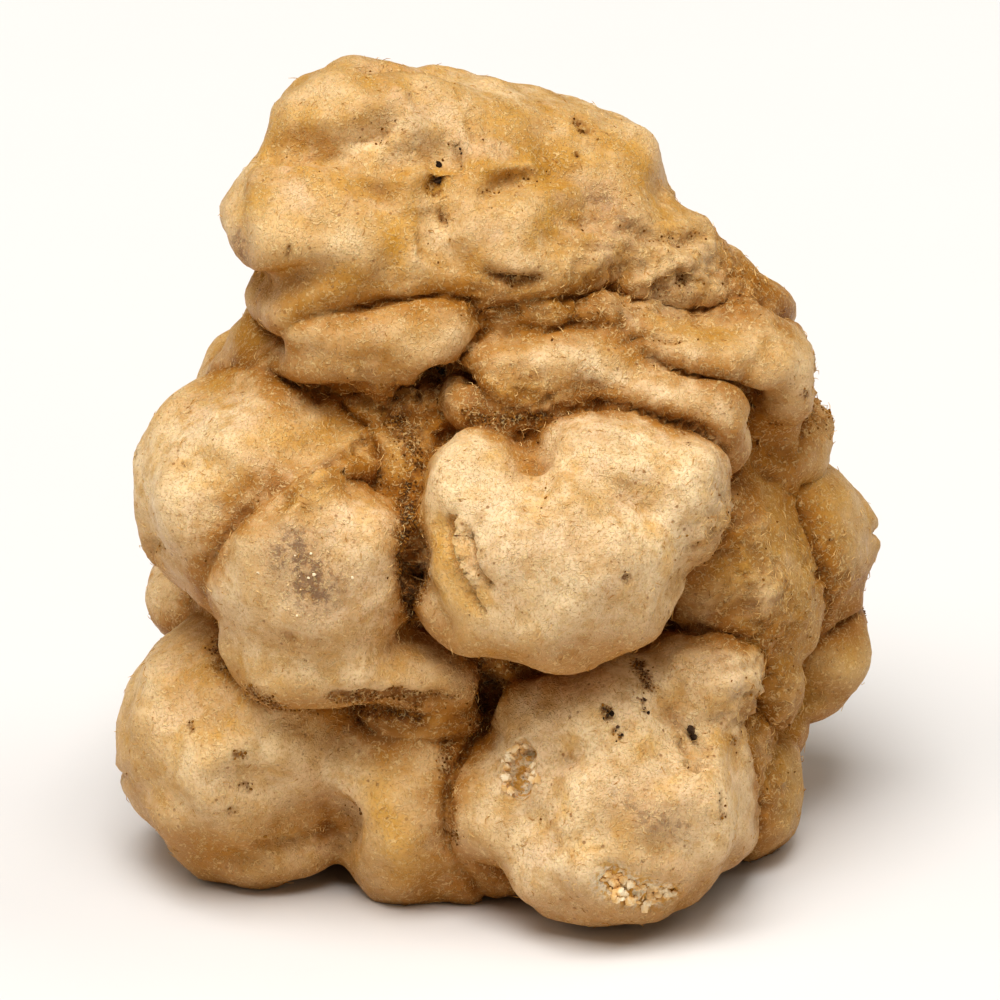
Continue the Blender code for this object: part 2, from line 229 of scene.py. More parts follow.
LOW_RIGHT = Fold(1.6, (
    Lobe((11.4, -20, 11.2), (11.6, 11.2, 10.4)),
    Lobe((0.8, -17.6, 12.6), (5.4, 8.4, 6.8)),
    Lobe((9.4, -16.6, 20.2), (8.6, 9, 4.6)),
    Lobe((3.6, -14.6, 20.2), (5.6, 6.4, 5)),
    Lobe((20.2, -11, 22.6), (5.4, 8, 4.6)),
    Lobe((19.4, -14, 15.4), (5.4, 8.8, 8)),
    Lobe((22.6, -14, 8.4), (2.4, 6, 4.4)),
    Lobe((14, -19.4, 5), (7.4, 7.8, 4.7)),
), tone=0.15)
FLANK = Fold(1.2, (
    Lobe((22.4, -3.4, 31.6), (7.6, 9.4, 11.8), tilt=-20),
    Lobe((28.6, 1, 24.2), (4.1, 6.5, 4.9)),
    Lobe((26.8, -3, 18.8), (3.7, 6.5, 5.4)),
), tone=-0.60)
FLANK_BEADS = Fold(0.4, (
    Lobe((24, -4.4, 40.6), (1.6, 1.6, 1.5)),
    Lobe((22.4, -5.4, 39.8), (1, 1, 1)),
), groove=0.5, tone=-0.3)
LOW_FLANK = Fold(1, (
    Lobe((26.2, -2, 6.9), (4.4, 7.5, 6.1)),
    Lobe((21.5, -4, 14), (6, 9, 9)),
), tone=-0.70)
FAR_FLANK = Fold(0.9, (
    Lobe((31.2, 10, 29.4), (6.2, 10, 9.2), tilt=-30),
    Lobe((30.3, 8, 41.2), (2.7, 4.4, 2.7)),
    Lobe((28.4, 6, 41), (1.8, 3, 2)),
), tone=-0.50)
FAR_FOOT = Fold(1, (
    Lobe((31, 11, 17.4), (6.6, 9, 5.2)),
    Lobe((28.6, 10, 13.4), (5.6, 8, 3)),
), tone=-0.55)
FAR_LEFT = Fold(1, (
    Lobe((-28.6, 8, 23.2), (6.2, 10, 4.2)),
))
BACK_LEFT = Fold(1.6, (
    Lobe((-16.5, 18, 35), (13.5, 12.5, 13)),
    Lobe((-23, 15, 22), (9.5, 11.5, 9.5)),
    Lobe((-9, 24.5, 26), (9, 7.5, 9)),
))
BACK_RIGHT = Fold(1.6, (
    Lobe((14, 20, 40), (13.5, 12, 12.5)),
    Lobe((21, 16.5, 27), (10, 10.5, 9.5)),
    Lobe((7, 26, 32), (8, 6.5, 8.5)),
))
BACK_FOOT = Fold(1.6, (
    Lobe((2, 20.5, 12.8), (14, 12.5, 12.8)),
    Lobe((-14, 17.5, 9.3), (10.5, 11, 9.8)),
    Lobe((17.5, 16.5, 11), (10.5, 10.5, 10.7)),
))
BACK_CROWN = Fold(1.8, (
    Lobe((-9, 16.5, 58.5), (11, 10, 9.6)),
    Lobe((5, 17.5, 57), (11, 9.5, 8.4)),
))
BACK_NECK = Fold(1.2, (
    Lobe((-2, 22, 49), (9.5, 7.5, 7.5)),
    Lobe((-14, 22, 46), (7, 6, 5), tilt=-20),
    Lobe((21, 17, 50), (5.5, 6.5, 4.5)),
))
UNDERSIDE = Fold(1.4, (
    Lobe((5, 1, 7), (10, 9, 5.6)),
    Lobe((-11, 4, 7.2), (9.5, 8, 5.4)),
), tone=-0.3)
CORE = Fold(3, (
    Lobe((-1, 5, 17), (28, 17, 13)),
    Lobe((0, 4.5, 34), (27, 17.5, 17)),
    Lobe((0, 13, 33), (23, 14, 22)),
    Lobe((0, 10, 53), (18.5, 14.5, 12)),
    Lobe((-9, -9.4, 38), (5, 8, 11)),
    Lobe((-2, -9.5, 25), (8, 7, 8)),
    Lobe((-19, 3, 49), (8.5, 9, 7)),
    Lobe((-22, 2, 27), (9, 12, 7)),
    Lobe((22, 4, 45), (7, 7, 7)),
    Lobe((26, 8.5, 38.5), (4, 4, 4)),
    Lobe((-16.5, 5.5, 57.5), (4, 4, 4)),
    Lobe((-4, -4.6, 6), (4, 4, 4)),
    Lobe((26.6, 3, 10.6), (4, 4, 4)),
), groove=0.3, tone=-0.6)
FOLDS = (
    CROWN, BORDER, UPPER_FINGER, LOWER_FINGER, COLLAR, NAPE, LEFT_CURDS, RIGHT_CURDS, LEFT_BALL, LEFT_CHEEK,
    LIP, FRONT_BALL, LOW_LEFT, LOW_STUBS, LOW_RIGHT, FLANK, FLANK_BEADS, LOW_FLANK, FAR_FLANK, FAR_FOOT,
    FAR_LEFT, BACK_LEFT, BACK_RIGHT, BACK_FOOT, BACK_CROWN, BACK_NECK, UNDERSIDE, CORE,
)


class Side(Enum):
    """The side from which a mark is drawn: the way that its line of sight goes, and its across and up."""

    FRONT = ((0, 1, 0), (1, 0, 0), (0, 0, 1))
    BACK = ((0, -1, 0), (1, 0, 0), (0, 0, 1))
    LEFT = ((1, 0, 0), (0, 1, 0), (0, 0, 1))
    RIGHT = ((-1, 0, 0), (0, 1, 0), (0, 0, 1))
    TOP = ((0, 0, -1), (1, 0, 0), (0, 1, 0))


class Mark(Enum):
    """What a stroke does to the skin."""

    CREASE = "crease"
    RIDGE = "ridge"
    PIT = "pit"
    ROUGH = "rough"
    TORN = "torn"
    SOIL = "soil"
    BRUISE = "bruise"
    OCHRE = "ochre"


@dataclass(frozen=True)
class Stroke:
    """One mark drawn on the skin from a side.

    Its points are (across, up) in mm, and it is width mm wide to each side. Depth is in mm for marks that
    move the skin and a strength from 0 to 1 for those that only colour it. Soil says how much soil it holds.
    """

    mark: Mark
    points: Line
    width: float
    depth: float
    soil: float = 0.0


# How a stroke of each mark is written, in the marks' own order.
crease, ridge, pit, rough, torn, soil, bruise, ochre = (partial(Stroke, mark) for mark in Mark)

FRONT_STROKES = (
    # Crown.
    crease(((-4.3, 76.2), (-4, 75), (-4.1, 73.8)), 0.35, 0.8, 0.6),
    crease(((-3.4, 78), (-2.8, 76.6), (-2.6, 75)), 0.5, 0.8, 0.3),
    crease(((-2, 77.4), (-1.6, 76.4), (-2, 75)), 0.4, 0.5, 0.3),
    crease(((-23.2, 74.4), (-21.4, 75), (-19.6, 75.6), (-17, 75.4), (-13.4, 75.9),
            (-8.6, 75.2)), 1.6, 2.1, 0.1),
    ridge(((-21, 73), (-18.4, 73.4), (-14.6, 73)), 2.4, 0.8),
    crease(((-23.4, 73.6), (-21, 74.4), (-18, 74.8), (-15, 74.6)), 0.6, 0.9, 0.12),
    pit(((-12.8, 78), (-11.8, 77.8)), 1.7, 1.5, 0.25),
    crease(((-17.6, 78.2), (-14.6, 77.2), (-12, 77.8), (-9.4, 78.4)), 1.3, 1.1),
    ridge(((-11.6, 80.2), (-9, 80)), 2.2, 0.7),
    ridge(((-25.4, 70), (-23.6, 71.6), (-20.6, 72.6)), 3.4, 0.8),
    crease(((-6.6, 77), (-5.4, 74.6), (-5.6, 72), (-6.4, 68.6)), 1.9, 1.2, 0.1),
    ridge(((-19.6, 73.8), (-18.7, 73.2), (-17.8, 72.8)), 0.5, 0.5),
    ochre(((-19.4, 73.6), (-18, 72.8)), 0.9, 0.9),
    pit(((-6.2, 73.6), (-6.5, 72.6)), 0.7, 0.7, 0.8),
    crease(((-6.2, 71.4), (-6, 70), (-5.6, 69)), 0.4, 0.5, 0.8),
    pit(((-20.9, 67.8), (-20.8, 67.8)), 0.35, 0.7, 1),
    pit(((7.6, 75), (8.3, 74.6)), 0.7, 0.6, 0.7),
    soil(((7.4, 73.2), (7.5, 72.9)), 0.35, 0.9),
    crease(((-2.4, 71.4), (0.4, 72.2), (2.6, 72.6), (5.6, 71.4)), 1, 1.1, 0.35),
    ridge(((-0.4, 69.4), (3.4, 69.8), (8, 69)), 3.2, 1.3),
    crease(((-2, 66), (-0.6, 64.8), (1.2, 64.2), (4.8, 64.6)), 0.7, 1.3, 0.8),
    crease(((-7, 71), (-6.2, 67.6), (-4, 64.8), (-1, 62.4)), 2, 1.3, 0.1),
    bruise(((-25.8, 66.8), (-25, 65)), 2.2, 1),
    bruise(((10, 69), (12.4, 67.6)), 2.6, 0.7),
    ridge(((-24, 59), (-20.4, 61.6), (-15.8, 64.4), (-12, 65.2)), 1.8, 0.9),
    crease(((-24.4, 62), (-20.6, 64.6), (-16.4, 66.4)), 1.6, 0.9),
    # The rough, fibrous hollow between the crown and the shoulder.
    rough(((9, 62.8), (13, 63.4), (19, 62.4), (24, 59.6)), 4.2, 0.9, 0.12),
    pit(((17.8, 61.6), (18, 61.4)), 0.9, 1, 0.7),
    pit(((15.6, 61.2), (15.9, 61)), 0.7, 0.8, 0.6),
    ridge(((9.8, 61.2), (13, 61.6), (16.4, 62.8), (18.8, 63.6)), 0.9, 0.7),
    ridge(((13.8, 60.2), (18, 60.4), (21, 59.8), (23.8, 58.6)), 0.9, 0.6),
    # Fingers.
    crease(((11.6, 57.5), (14.4, 57.9), (17, 57.6), (19.8, 57.2)), 0.4, 0.6, 0.5),
    soil(((30.2, 50.4), (30.4, 50)), 0.6, 0.8),
    soil(((27.2, 46.2), (27.4, 45.8)), 0.6, 0.8),
    soil(((18.2, 50.2), (18.5, 49.8)), 0.6, 0.7),
    # Collar and curds.
    rough(((-13, 53.4), (-10, 52.6), (-7.4, 51.4)), 2.4, 1, 0.25),
    rough(((-4.4, 54), (-0.6, 54), (4, 53.8), (9, 53.4)), 1.8, 0.8, 0.1),
    rough(((-4, 61.4), (1, 61.2), (7, 60.8), (12, 60)), 1.5, 0.9, 0.3),
    ochre(((-3.6, 54.6), (0.6, 54.2), (5, 53.8)), 1.8, 0.8),
    pit(((-6.9, 55.4), (-6.3, 54.4)), 1.3, 1.4, 1),
    pit(((-10.6, 52.6), (-10, 52.2)), 0.7, 1, 0.8),
    pit(((-8.4, 52.8), (-8.1, 52.3)), 0.6, 0.9, 0.7),
    pit(((-11.8, 51), (-11.2, 50.7)), 0.6, 0.9, 0.7),
    soil(((-10.4, 50.4), (-8.8, 48.8), (-8.2, 46.8)), 1.7, 0.8),
    soil(((-3, 51.9), (1, 51.5), (5, 51.6)), 0.9, 0.9),
    pit(((8.6, 53.2), (9.2, 52.6)), 1.3, 0.6, 0.2),
    bruise(((8.6, 53.2), (9.2, 52.6)), 1.6, 0.9),
    # Left ball and cheek.
    ridge(((-10.8, 48.4), (-14.4, 48), (-18, 46.9), (-21, 45)), 0.8, 1),
    ridge(((-12, 46.2), (-15, 46.3), (-18, 45.9), (-21.4, 43.6)), 1.2, 1.5),
    crease(((-13.6, 47.3), (-16.4, 47), (-19, 45.9)), 0.4, 0.6, 0.1),
    rough(((-12, 47.4), (-16.4, 46.8), (-20.8, 44.4)), 1.7, 0.6),
    ochre(((-14, 47), (-20.6, 44.6)), 1.8, 0.9),
    ridge(((-10.6, 42), (-10, 38), (-10.6, 34)), 2.4, 1.5),
    bruise(((-19.8, 41.6), (-18.2, 38.2)), 4, 1),
    pit(((-21, 32.7), (-20.8, 32.5)), 0.7, 0.5, 0.3),
    pit(((-17.8, 32.4), (-17.6, 32.2)), 0.6, 0.45, 0.3),
    crease(((-16.8, 26.6), (-12.8, 25.4), (-8, 24.2), (-3.6, 24)), 0.7, 0.9, 0.7),
    crease(((-12.8, 20.6), (-8.4, 20.2), (-3.8, 20.2)), 0.5, 0.6, 0.4),
    soil(((-9, 45), (-9.4, 39), (-8.8, 32)), 1.4, 1),
    soil(((-24.6, 25.2), (-21, 23.6), (-17, 22.6), (-12, 22), (-8, 21.4)), 1.3, 0.8),
    soil(((-16.6, 25.8), (-12.8, 24.6), (-8, 23.4)), 0.8, 0.7),
    pit(((-27.8, 26.6), (-27, 25.8)), 1.3, 1.2, 1),
    pit(((-1.4, 24), (-1.2, 21.6)), 1.4, 2.4, 0.9),
    soil(((-3, 28), (-1, 23), (-2.4, 19)), 2, 0.8),
    # Front ball.
    crease(((2.6, 50.4), (3.2, 49), (3.6, 47.2), (4.4, 45.6)), 1.9, 1.3, 0.15),
    crease(((-5, 45), (-4.5, 43.6), (-4.6, 42.4), (-3.8, 41), (-3.4, 39.4)), 0.5, 2.2, 0.5),
    ridge(((-4.2, 45.2), (-3.5, 43.8), (-3.6, 42.4), (-2.8, 40.8), (-2, 39.4)), 0.6, 1.5),
    crease(((-3.1, 44.4), (-2.5, 43), (-2.6, 41.8), (-1.6, 40.2), (-0.8, 39.2)), 0.45, 1.9, 0.4),
    crease(((-3.6, 38.6), (-2.6, 37.4), (-1.6, 36.6)), 0.45, 1.2, 0.3),
    pit(((-9.4, 39.4), (-8.6, 36.8), (-6.4, 34)), 2.6, 2),
    pit(((17.2, 36.6), (16, 34.4)), 2.2, 0.9),
    ochre(((-5.6, 43), (-4.6, 40), (-3.6, 37)), 2.4, 1),
    pit(((12.3, 40), (12.4, 39.9)), 0.5, 0.5, 0.8),
    bruise(((1, 44.6), (9, 43.6), (13, 38)), 5, 0.42),
    ochre(((-5.4, 36), (-3, 33), (1.6, 31)), 2.6, 0.6),
    # Low left.
    crease(((-24.8, 7.6), (-21, 6.4), (-18.6, 6.9)), 0.7, 1, 0.2),
    crease(((-15.8, 13), (-15.2, 9), (-16, 5)), 1.8, 1.5, 0.25),
    soil(((-5.4, 18), (-5, 14), (-4.6, 10)), 1.2, 0.6),
    crease(((-30, 16.4), (-26, 15.6), (-22, 16.6)), 2.2, 0.8),
    ridge(((-12.6, 14.4), (-10.4, 10), (-9.4, 6)), 1.8, 0.9),
    ochre(((-12.4, 14), (-10.2, 9.6), (-9.4, 5.6)), 2.2, 1),
    pit(((-26.2, 18.2), (-25.5, 17.9)), 0.45, 0.35, 0.7),
    pit(((-25.4, 14.2), (-25, 14)), 0.45, 0.35, 0.7),
    pit(((-30.9, 20.2), (-30.5, 19.9)), 0.45, 0.35, 0.7),
    pit(((-26.9, 12.1), (-26.5, 11.9)), 0.45, 0.35, 0.6),
    # Low right.
    soil(((1, 25.8), (6, 26.4), (11, 26.8)), 0.9, 0.7),
    soil(((12.4, 28.2), (13.4, 26.6), (14.4, 25)), 1.1, 0.9),
    soil(((10.4, 24.2), (10.6, 23.6)), 0.6, 1),
    soil(((11.4, 22.4), (11.8, 22)), 0.5, 0.8),
    soil(((14, 24.2), (14.3, 23.6)), 0.5, 0.8),
    pit(((10.4, 24), (10.6, 23.6)), 0.5, 0.4),
    crease(((17.4, 20), (19.2, 18.8), (20.9, 17.4)), 0.5, 1, 0.5),
    crease(((18.2, 20.6), (19.8, 19.6), (21.2, 18.6)), 0.4, 0.6, 0.3),
    pit(((21.8, 15.8), (21.9, 15)), 0.4, 0.6, 0.4),
    torn(((2.4, 18.8), (1.8, 17.4), (2.2, 16)), 0.9, 1.9),
    torn(((10.9, 9), (12.8, 7.8), (15.8, 6)), 1.5, 0.9),
    crease(((1.6, 15.2), (3.6, 13.4), (5.8, 11.2)), 1.2, 0.5, 0.1),
    bruise(((11.8, 17), (15, 15.2), (17.8, 13.6)), 2.6, 0.7),
    soil(((22.9, 18.7), (23.1, 18.4)), 0.5, 0.9),
    soil(((21.7, 14.1), (21.9, 13.8)), 0.5, 0.8),
    ochre(((30.6, 36.8), (32.4, 35.2)), 2.2, 0.8),
    rough(((21, 40), (25, 34), (27, 27)), 5, 0.8, 0.15),
    rough(((25, 22), (27, 16), (26, 10)), 4.2, 0.8, 0.15),
    rough(((31, 32), (34, 26)), 3.6, 0.7, 0.15),
)
BACK_STROKES = (
    crease(((-6, 69), (-2, 67.5), (3, 68.4)), 0.8, 0.9, 0.4),
    ridge(((-16, 66), (-10, 69)), 2.6, 1),
    pit(((-12, 56), (-11.6, 55.6)), 0.7, 0.7, 0.8),
    ridge(((2, 58), (6, 54), (5, 50)), 2.4, 1.2),
    ridge(((-3, 57), (-1.6, 53), (-3, 49)), 1.8, 1.3),
    rough(((-10, 47), (-4, 45), (3, 46)), 3, 0.9, 0.3),
    pit(((7, 44), (7.3, 43.8)), 0.6, 0.6, 0.8),
    crease(((12, 40), (14, 36), (13, 32)), 0.7, 1, 0.4),
    crease(((14.5, 41), (16, 37.5), (15.4, 35)), 0.5, 0.7, 0.2),
    bruise(((17, 30), (19, 27)), 3.2, 0.8),
    soil(((-1, 38), (1, 33), (-1, 29)), 1.6, 0.9),
    crease(((-18, 38), (-14.6, 36), (-12.4, 31)), 0.8, 1, 0.3),
    ochre(((-20, 32), (-15, 27)), 3.2, 0.9),
    ridge(((-6, 24), (-3, 21), (-4, 17)), 2.2, 1.4),
    ridge(((8, 25), (12, 22), (17, 21)), 2.2, 1.2),
    torn(((-9, 14.6), (-6.6, 13.6)), 1, 0.9),
    pit(((5, 12), (5.3, 11.8)), 0.6, 0.6, 0.8),
    crease(((10, 17), (12, 13), (11, 9)), 0.7, 1, 0.4),
)
RIGHT_STROKES = (
    crease(((-4, 68), (-1, 65), (3, 64.4)), 0.8, 0.9, 0.4),
    ridge(((2, 60), (7, 56), (12, 55)), 2.2, 1.1),
    rough(((2, 49), (6, 44), (11, 42)), 2.6, 0.9, 0.3),
    crease(((9, 30), (13, 28), (16, 24)), 0.7, 0.9, 0.4),
    bruise(((8, 24), (11, 22)), 2.8, 0.8),
    pit(((-4, 30), (-3.7, 29.8)), 0.6, 0.6, 0.8),
    ochre(((16, 40), (20, 36)), 3, 0.8),
    soil(((14, 19), (18, 17), (22, 18)), 1.2, 0.6),
)
LEFT_STROKES = (
    crease(((10, 66), (12, 63), (14, 60)), 0.8, 1, 0.4),
    bruise(((8, 70), (11, 68)), 2.6, 0.7),
    rough(((8, 55), (12, 53), (16, 52)), 2.6, 0.8, 0.2),
    crease(((-14, 38), (-10, 36), (-8, 31)), 0.7, 0.9, 0.3),
    pit(((-6, 44), (-5.7, 43.8)), 0.6, 0.6, 0.8),
    ochre(((4, 38), (9, 35)), 3, 0.8),
    crease(((-12, 12), (-7, 10), (-2, 11)), 0.8, 0.8, 0.1),
    soil(((6, 22), (12, 21), (16, 22)), 1.2, 0.25),
)
TOP_STROKES = (
    crease(((-14, 4), (-9, 6), (-4, 5)), 0.8, 0.8, 0.3),
    bruise(((-4, 15), (1, 16)), 3, 0.6),
    pit(((-16, 8), (-15.7, 7.8)), 0.6, 0.6, 0.8),
)
STROKES: dict[Side, tuple[Stroke, ...]] = {
    Side.FRONT: FRONT_STROKES,
    Side.BACK: BACK_STROKES,
    Side.RIGHT: RIGHT_STROKES,
    Side.LEFT: LEFT_STROKES,
    Side.TOP: TOP_STROKES,
}


class SkinMesh:
    """The skin's points and faces as arrays in mm, with what is measured and marked on them."""

    def __init__(self, mesh: bpy.types.Mesh) -> None:
        """Reads the mesh.

        Args:
            mesh: A mesh of quads, in metres.
        """
        self.mesh = mesh
        count = len(mesh.vertices)
        flat = np.empty(count * 3, np.float32)
        mesh.vertices.foreach_get("co", flat)
        self.points = flat.reshape(-1, 3).astype(float) / MM
        pairs = np.empty(len(mesh.edges) * 2, np.int32)
        mesh.edges.foreach_get("vertices", pairs)
        self.pairs = pairs.reshape(-1, 2)
        corners = np.empty(len(mesh.loops), np.int32)
        mesh.loops.foreach_get("vertex_index", corners)
        self.quads = corners.reshape(-1, 4)
        self.neighbours = np.maximum(np.bincount(self.pairs.ravel(), minlength=count), 1)
        self.masks: dict[str, Array] = {}

    def tree(self) -> BVHTree:
        """The skin's faces as a search tree, in mm."""
        return BVHTree.FromPolygons([Vector(point) for point in self.points], self.quads.tolist())

    def mean_round(self, values: Array) -> Array:
        """The mean of each point's neighbours, for one column or several."""
        columns = values.reshape(len(values), -1)
        first, second = self.pairs.T
        count = len(columns)
        total = np.stack([
            np.bincount(first, column[second], count) + np.bincount(second, column[first], count)
            for column in columns.T
        ], axis=1)
        return (total / self.neighbours[:, None]).reshape(values.shape)

    def spread(self, values: Array, rounds: int, share: float = 1.0) -> Array:
        """Evens values out over the skin.

        Args:
            values: One value or vector for each point.
            rounds: How many times each point takes its neighbours' mean.
            share: How far it goes towards that mean each time.

        Returns:
            The evened values.
        """
        for _ in range(rounds):
            values = values + share * (self.mean_round(values) - values)
        return values

    def normals(self) -> Array:
        """Each point's outward direction."""
        corner = self.points[self.quads]
        across = np.cross(corner[:, 2] - corner[:, 0], corner[:, 3] - corner[:, 1])
        total = np.stack([
            sum(np.bincount(self.quads[:, k], across[:, axis], len(self.points)) for k in range(4))
            for axis in range(3)
        ], axis=1)
        return total / np.maximum(np.linalg.norm(total, axis=1, keepdims=True), TINY)

    def hollow(self, rounds: int) -> Array:
        """How deep each point lies under the skin evened over so many rounds, in mm, negative on a bump."""
        level = self.spread(self.points, rounds)
        return ((level - self.points) * self.normals()).sum(axis=1)

    def raise_mask(self, name: str, near: Array, values: Array) -> None:
        """Raises a mask to the values at the points of these numbers, where it is lower."""
        self.masks[name][near] = np.maximum(self.masks[name][near], values)

    def write(self) -> None:
        """Puts the points and the masks into the mesh."""
        self.mesh.vertices.foreach_set("co", (self.points * MM).astype(np.float32).ravel())
        for name, values in self.masks.items():
            layer = self.mesh.attributes.new(name, "FLOAT", "POINT")
            layer.data.foreach_set("value", np.clip(values, 0.0, 1.0).astype(np.float32))
        self.mesh.update()


def noise_at(points: Array, size: float, shift: float = 0.0) -> Array:
    """Smooth noise of about -1 to 1 whose lumps are size mm apart."""
    scaled = points / size + shift
    return np.fromiter((noise.noise(point) for point in scaled), float, len(scaled))


def ridges_at(points: Array, size: float, shift: float = 0.0) -> Array:
    """Sharp winding ridges from 0 to about 1, size mm apart."""
    return 1.0 - 2.0 * np.abs(noise_at(points, size, shift))


def lumps_at(points: Array, size: float) -> Array:
    """Round lumps from about 0 between them to 1 on top, size mm apart."""
    scaled = points / size
    near = np.fromiter((noise.voronoi(point)[0][0] for point in scaled), float, len(scaled))
    return 1.0 - np.clip(near, 0.0, 1.0)


@dataclass(frozen=True)
class GrownForm:
    """The form that the solid was grown from, as a height over the skin. Lengths are in mm.

    The form's own origin lies a little off the solid's, which stands at the bottom centre of its box.
    """

    folds: tuple[Fold, ...] = FOLDS
    shift: Triple = FORM_ORIGIN
    fold_blend: float = 2.6
    back_blend: float = 1.6
    blend_length: float = 12.0
    blend_change: float = 0.7
    blend_stream: int = 14
    tone_reach: float = 2.4
    groove_share: float = 0.5
    groove_width: float = 0.7
    fullness: float = 2.2
    least_share: float = 1e-6
    back_from: tuple[float, float] = (-2.0, 10.0)
    least_blend: float = 1.0
    swells: tuple[tuple[float, float], ...] = ((22.0, 0.60), (10.0, 0.38), (5.5, 0.16))
    waves: int = 14
    wave_spread: tuple[float, float] = (0.75, 1.35)
    warp_length: float = 17.0
    warp_reach: float = 0.6
    warp_streams: tuple[int, ...] = (11, 12, 13)
    seed: int = 7

    def ripples(self, points: Array, wavelength: float, stream: int) -> Array:
        """Smooth noise of about -1 to 1: plane waves in seeded directions, added up."""
        draw = np.random.default_rng([self.seed, stream])
        ways = draw.normal(size=(self.waves, 3))
        ways /= np.linalg.norm(ways, axis=1, keepdims=True)
        pitch = 2 * np.pi / (wavelength * draw.uniform(*self.wave_spread, self.waves))
        phase = draw.uniform(0, 2 * np.pi, self.waves)
        return np.sin(points @ (ways * pitch[:, None]).T + phase).sum(axis=1) / np.sqrt(self.waves)

    def blend_down(self, distances: Array, blend: float | Array) -> Array:
        """The smallest of the rows, rounded where others come within the blend distance of it."""
        least = distances.min(axis=0)
        near = np.clip(blend - (distances - least), 0, None) ** 2 / (4 * blend)
        return least - (near.sum(axis=0) - blend / 4)

    def lobe_distance(self, points: Array, lobe: Lobe) -> Array:
        """About how far each point lies outside the lobe, negative inside it."""
        tilted = np.array(Matrix.Rotation(math.radians(lobe.tilt), 3, "Y"))
        radii = np.array(lobe.radii)
        share = np.abs((points - np.array(lobe.at)) @ tilted) / radii + self.least_share
        reach = (share**self.fullness).sum(axis=1) ** (1 / self.fullness)
        slope = np.linalg.norm((share / reach[:, None]) ** (self.fullness - 1) / radii, axis=1)
        return (reach - 1) / slope

    def measure(self, skin_points: Array) -> tuple[Array, Array, Array]:
        """Measures the form at points of the skin.

        Args:
            skin_points: The points, in mm, in the solid's frame.

        Returns:
            For each point its height over the form's skin, how far its second nearest fold is behind the
            nearest one, and the tone of the folds round it.
        """
        points = skin_points - np.array(self.shift)
        warp = [self.ripples(points, self.warp_length, stream) for stream in self.warp_streams]
        warped = points + self.warp_reach * np.stack(warp, axis=1)
        folds = np.stack([
            self.blend_down(np.stack([self.lobe_distance(warped, lobe) for lobe in fold.lobes]), fold.blend)
            for fold in self.folds
        ])
        order = np.argsort(folds, axis=0)[:2]
        first, second = np.take_along_axis(folds, order, axis=0)
        depth = np.array([fold.groove for fold in self.folds])[order].mean(axis=0)
        groove = self.groove_share * depth * np.exp(-(((second - first) / self.groove_width) ** 2))
        swell = sum(
            rise * self.ripples(points, length, stream) for stream, (length, rise) in enumerate(self.swells)
        )
        weight = np.exp(-(folds - first) / self.tone_reach)
        tones = np.array([fold.tone for fold in self.folds])
        tone = (weight * tones[:, None]).sum(axis=0) / weight.sum(axis=0)
        blend = self.fold_blend + self.back_blend * smoothstep(*self.back_from, points[:, 1])
        blend += self.blend_change * self.ripples(points, self.blend_length, self.blend_stream)
        height = self.blend_down(folds, np.maximum(blend, self.least_blend)) + groove - swell
        return height, second - first, tone


def line_on_skin(points: Line, side: Side, tree: BVHTree) -> tuple[Array, Array]:
    """Drops a line onto the skin from a side.

    Args:
        points: The line's (across, up) points in mm, from the grown form's own origin.
        side: The side from which it is drawn.
        tree: The skin's faces, in mm.

    Returns:
        The line's points on the skin in mm, and for each one how far along the line it is, from 0 to 1.
    """
    way, across, up = (np.array(axis, float) for axis in side.value)
    knots = np.array(points, float)
    lengths = np.r_[0.0, np.cumsum(np.linalg.norm(np.diff(knots, axis=0), axis=1))]
    along = np.linspace(0.0, 1.0, max(2, int(lengths[-1] / LINE_STEP) + 1))
    flat = np.stack([np.interp(along * lengths[-1], lengths, column) for column in knots.T], axis=1)
    found = []
    for share, (right, high) in zip(along, flat):
        start = np.array(FORM_ORIGIN) + across * right + up * high - way * FAR_OFF
        waver = WAVER * noise.noise(Vector((right * WAVER_PITCH, high * WAVER_PITCH, WAVER_SEED)))
        hit = tree.ray_cast(Vector(start + (across + up) * waver), Vector(way))[0]
        if hit is not None:
            found.append((*hit, share))
    if not found:
        raise ValueError(f"the line from {points[0]} misses the skin from the {side.name} side")
    line = np.array(found)
    return line[:, :3], line[:, 3]


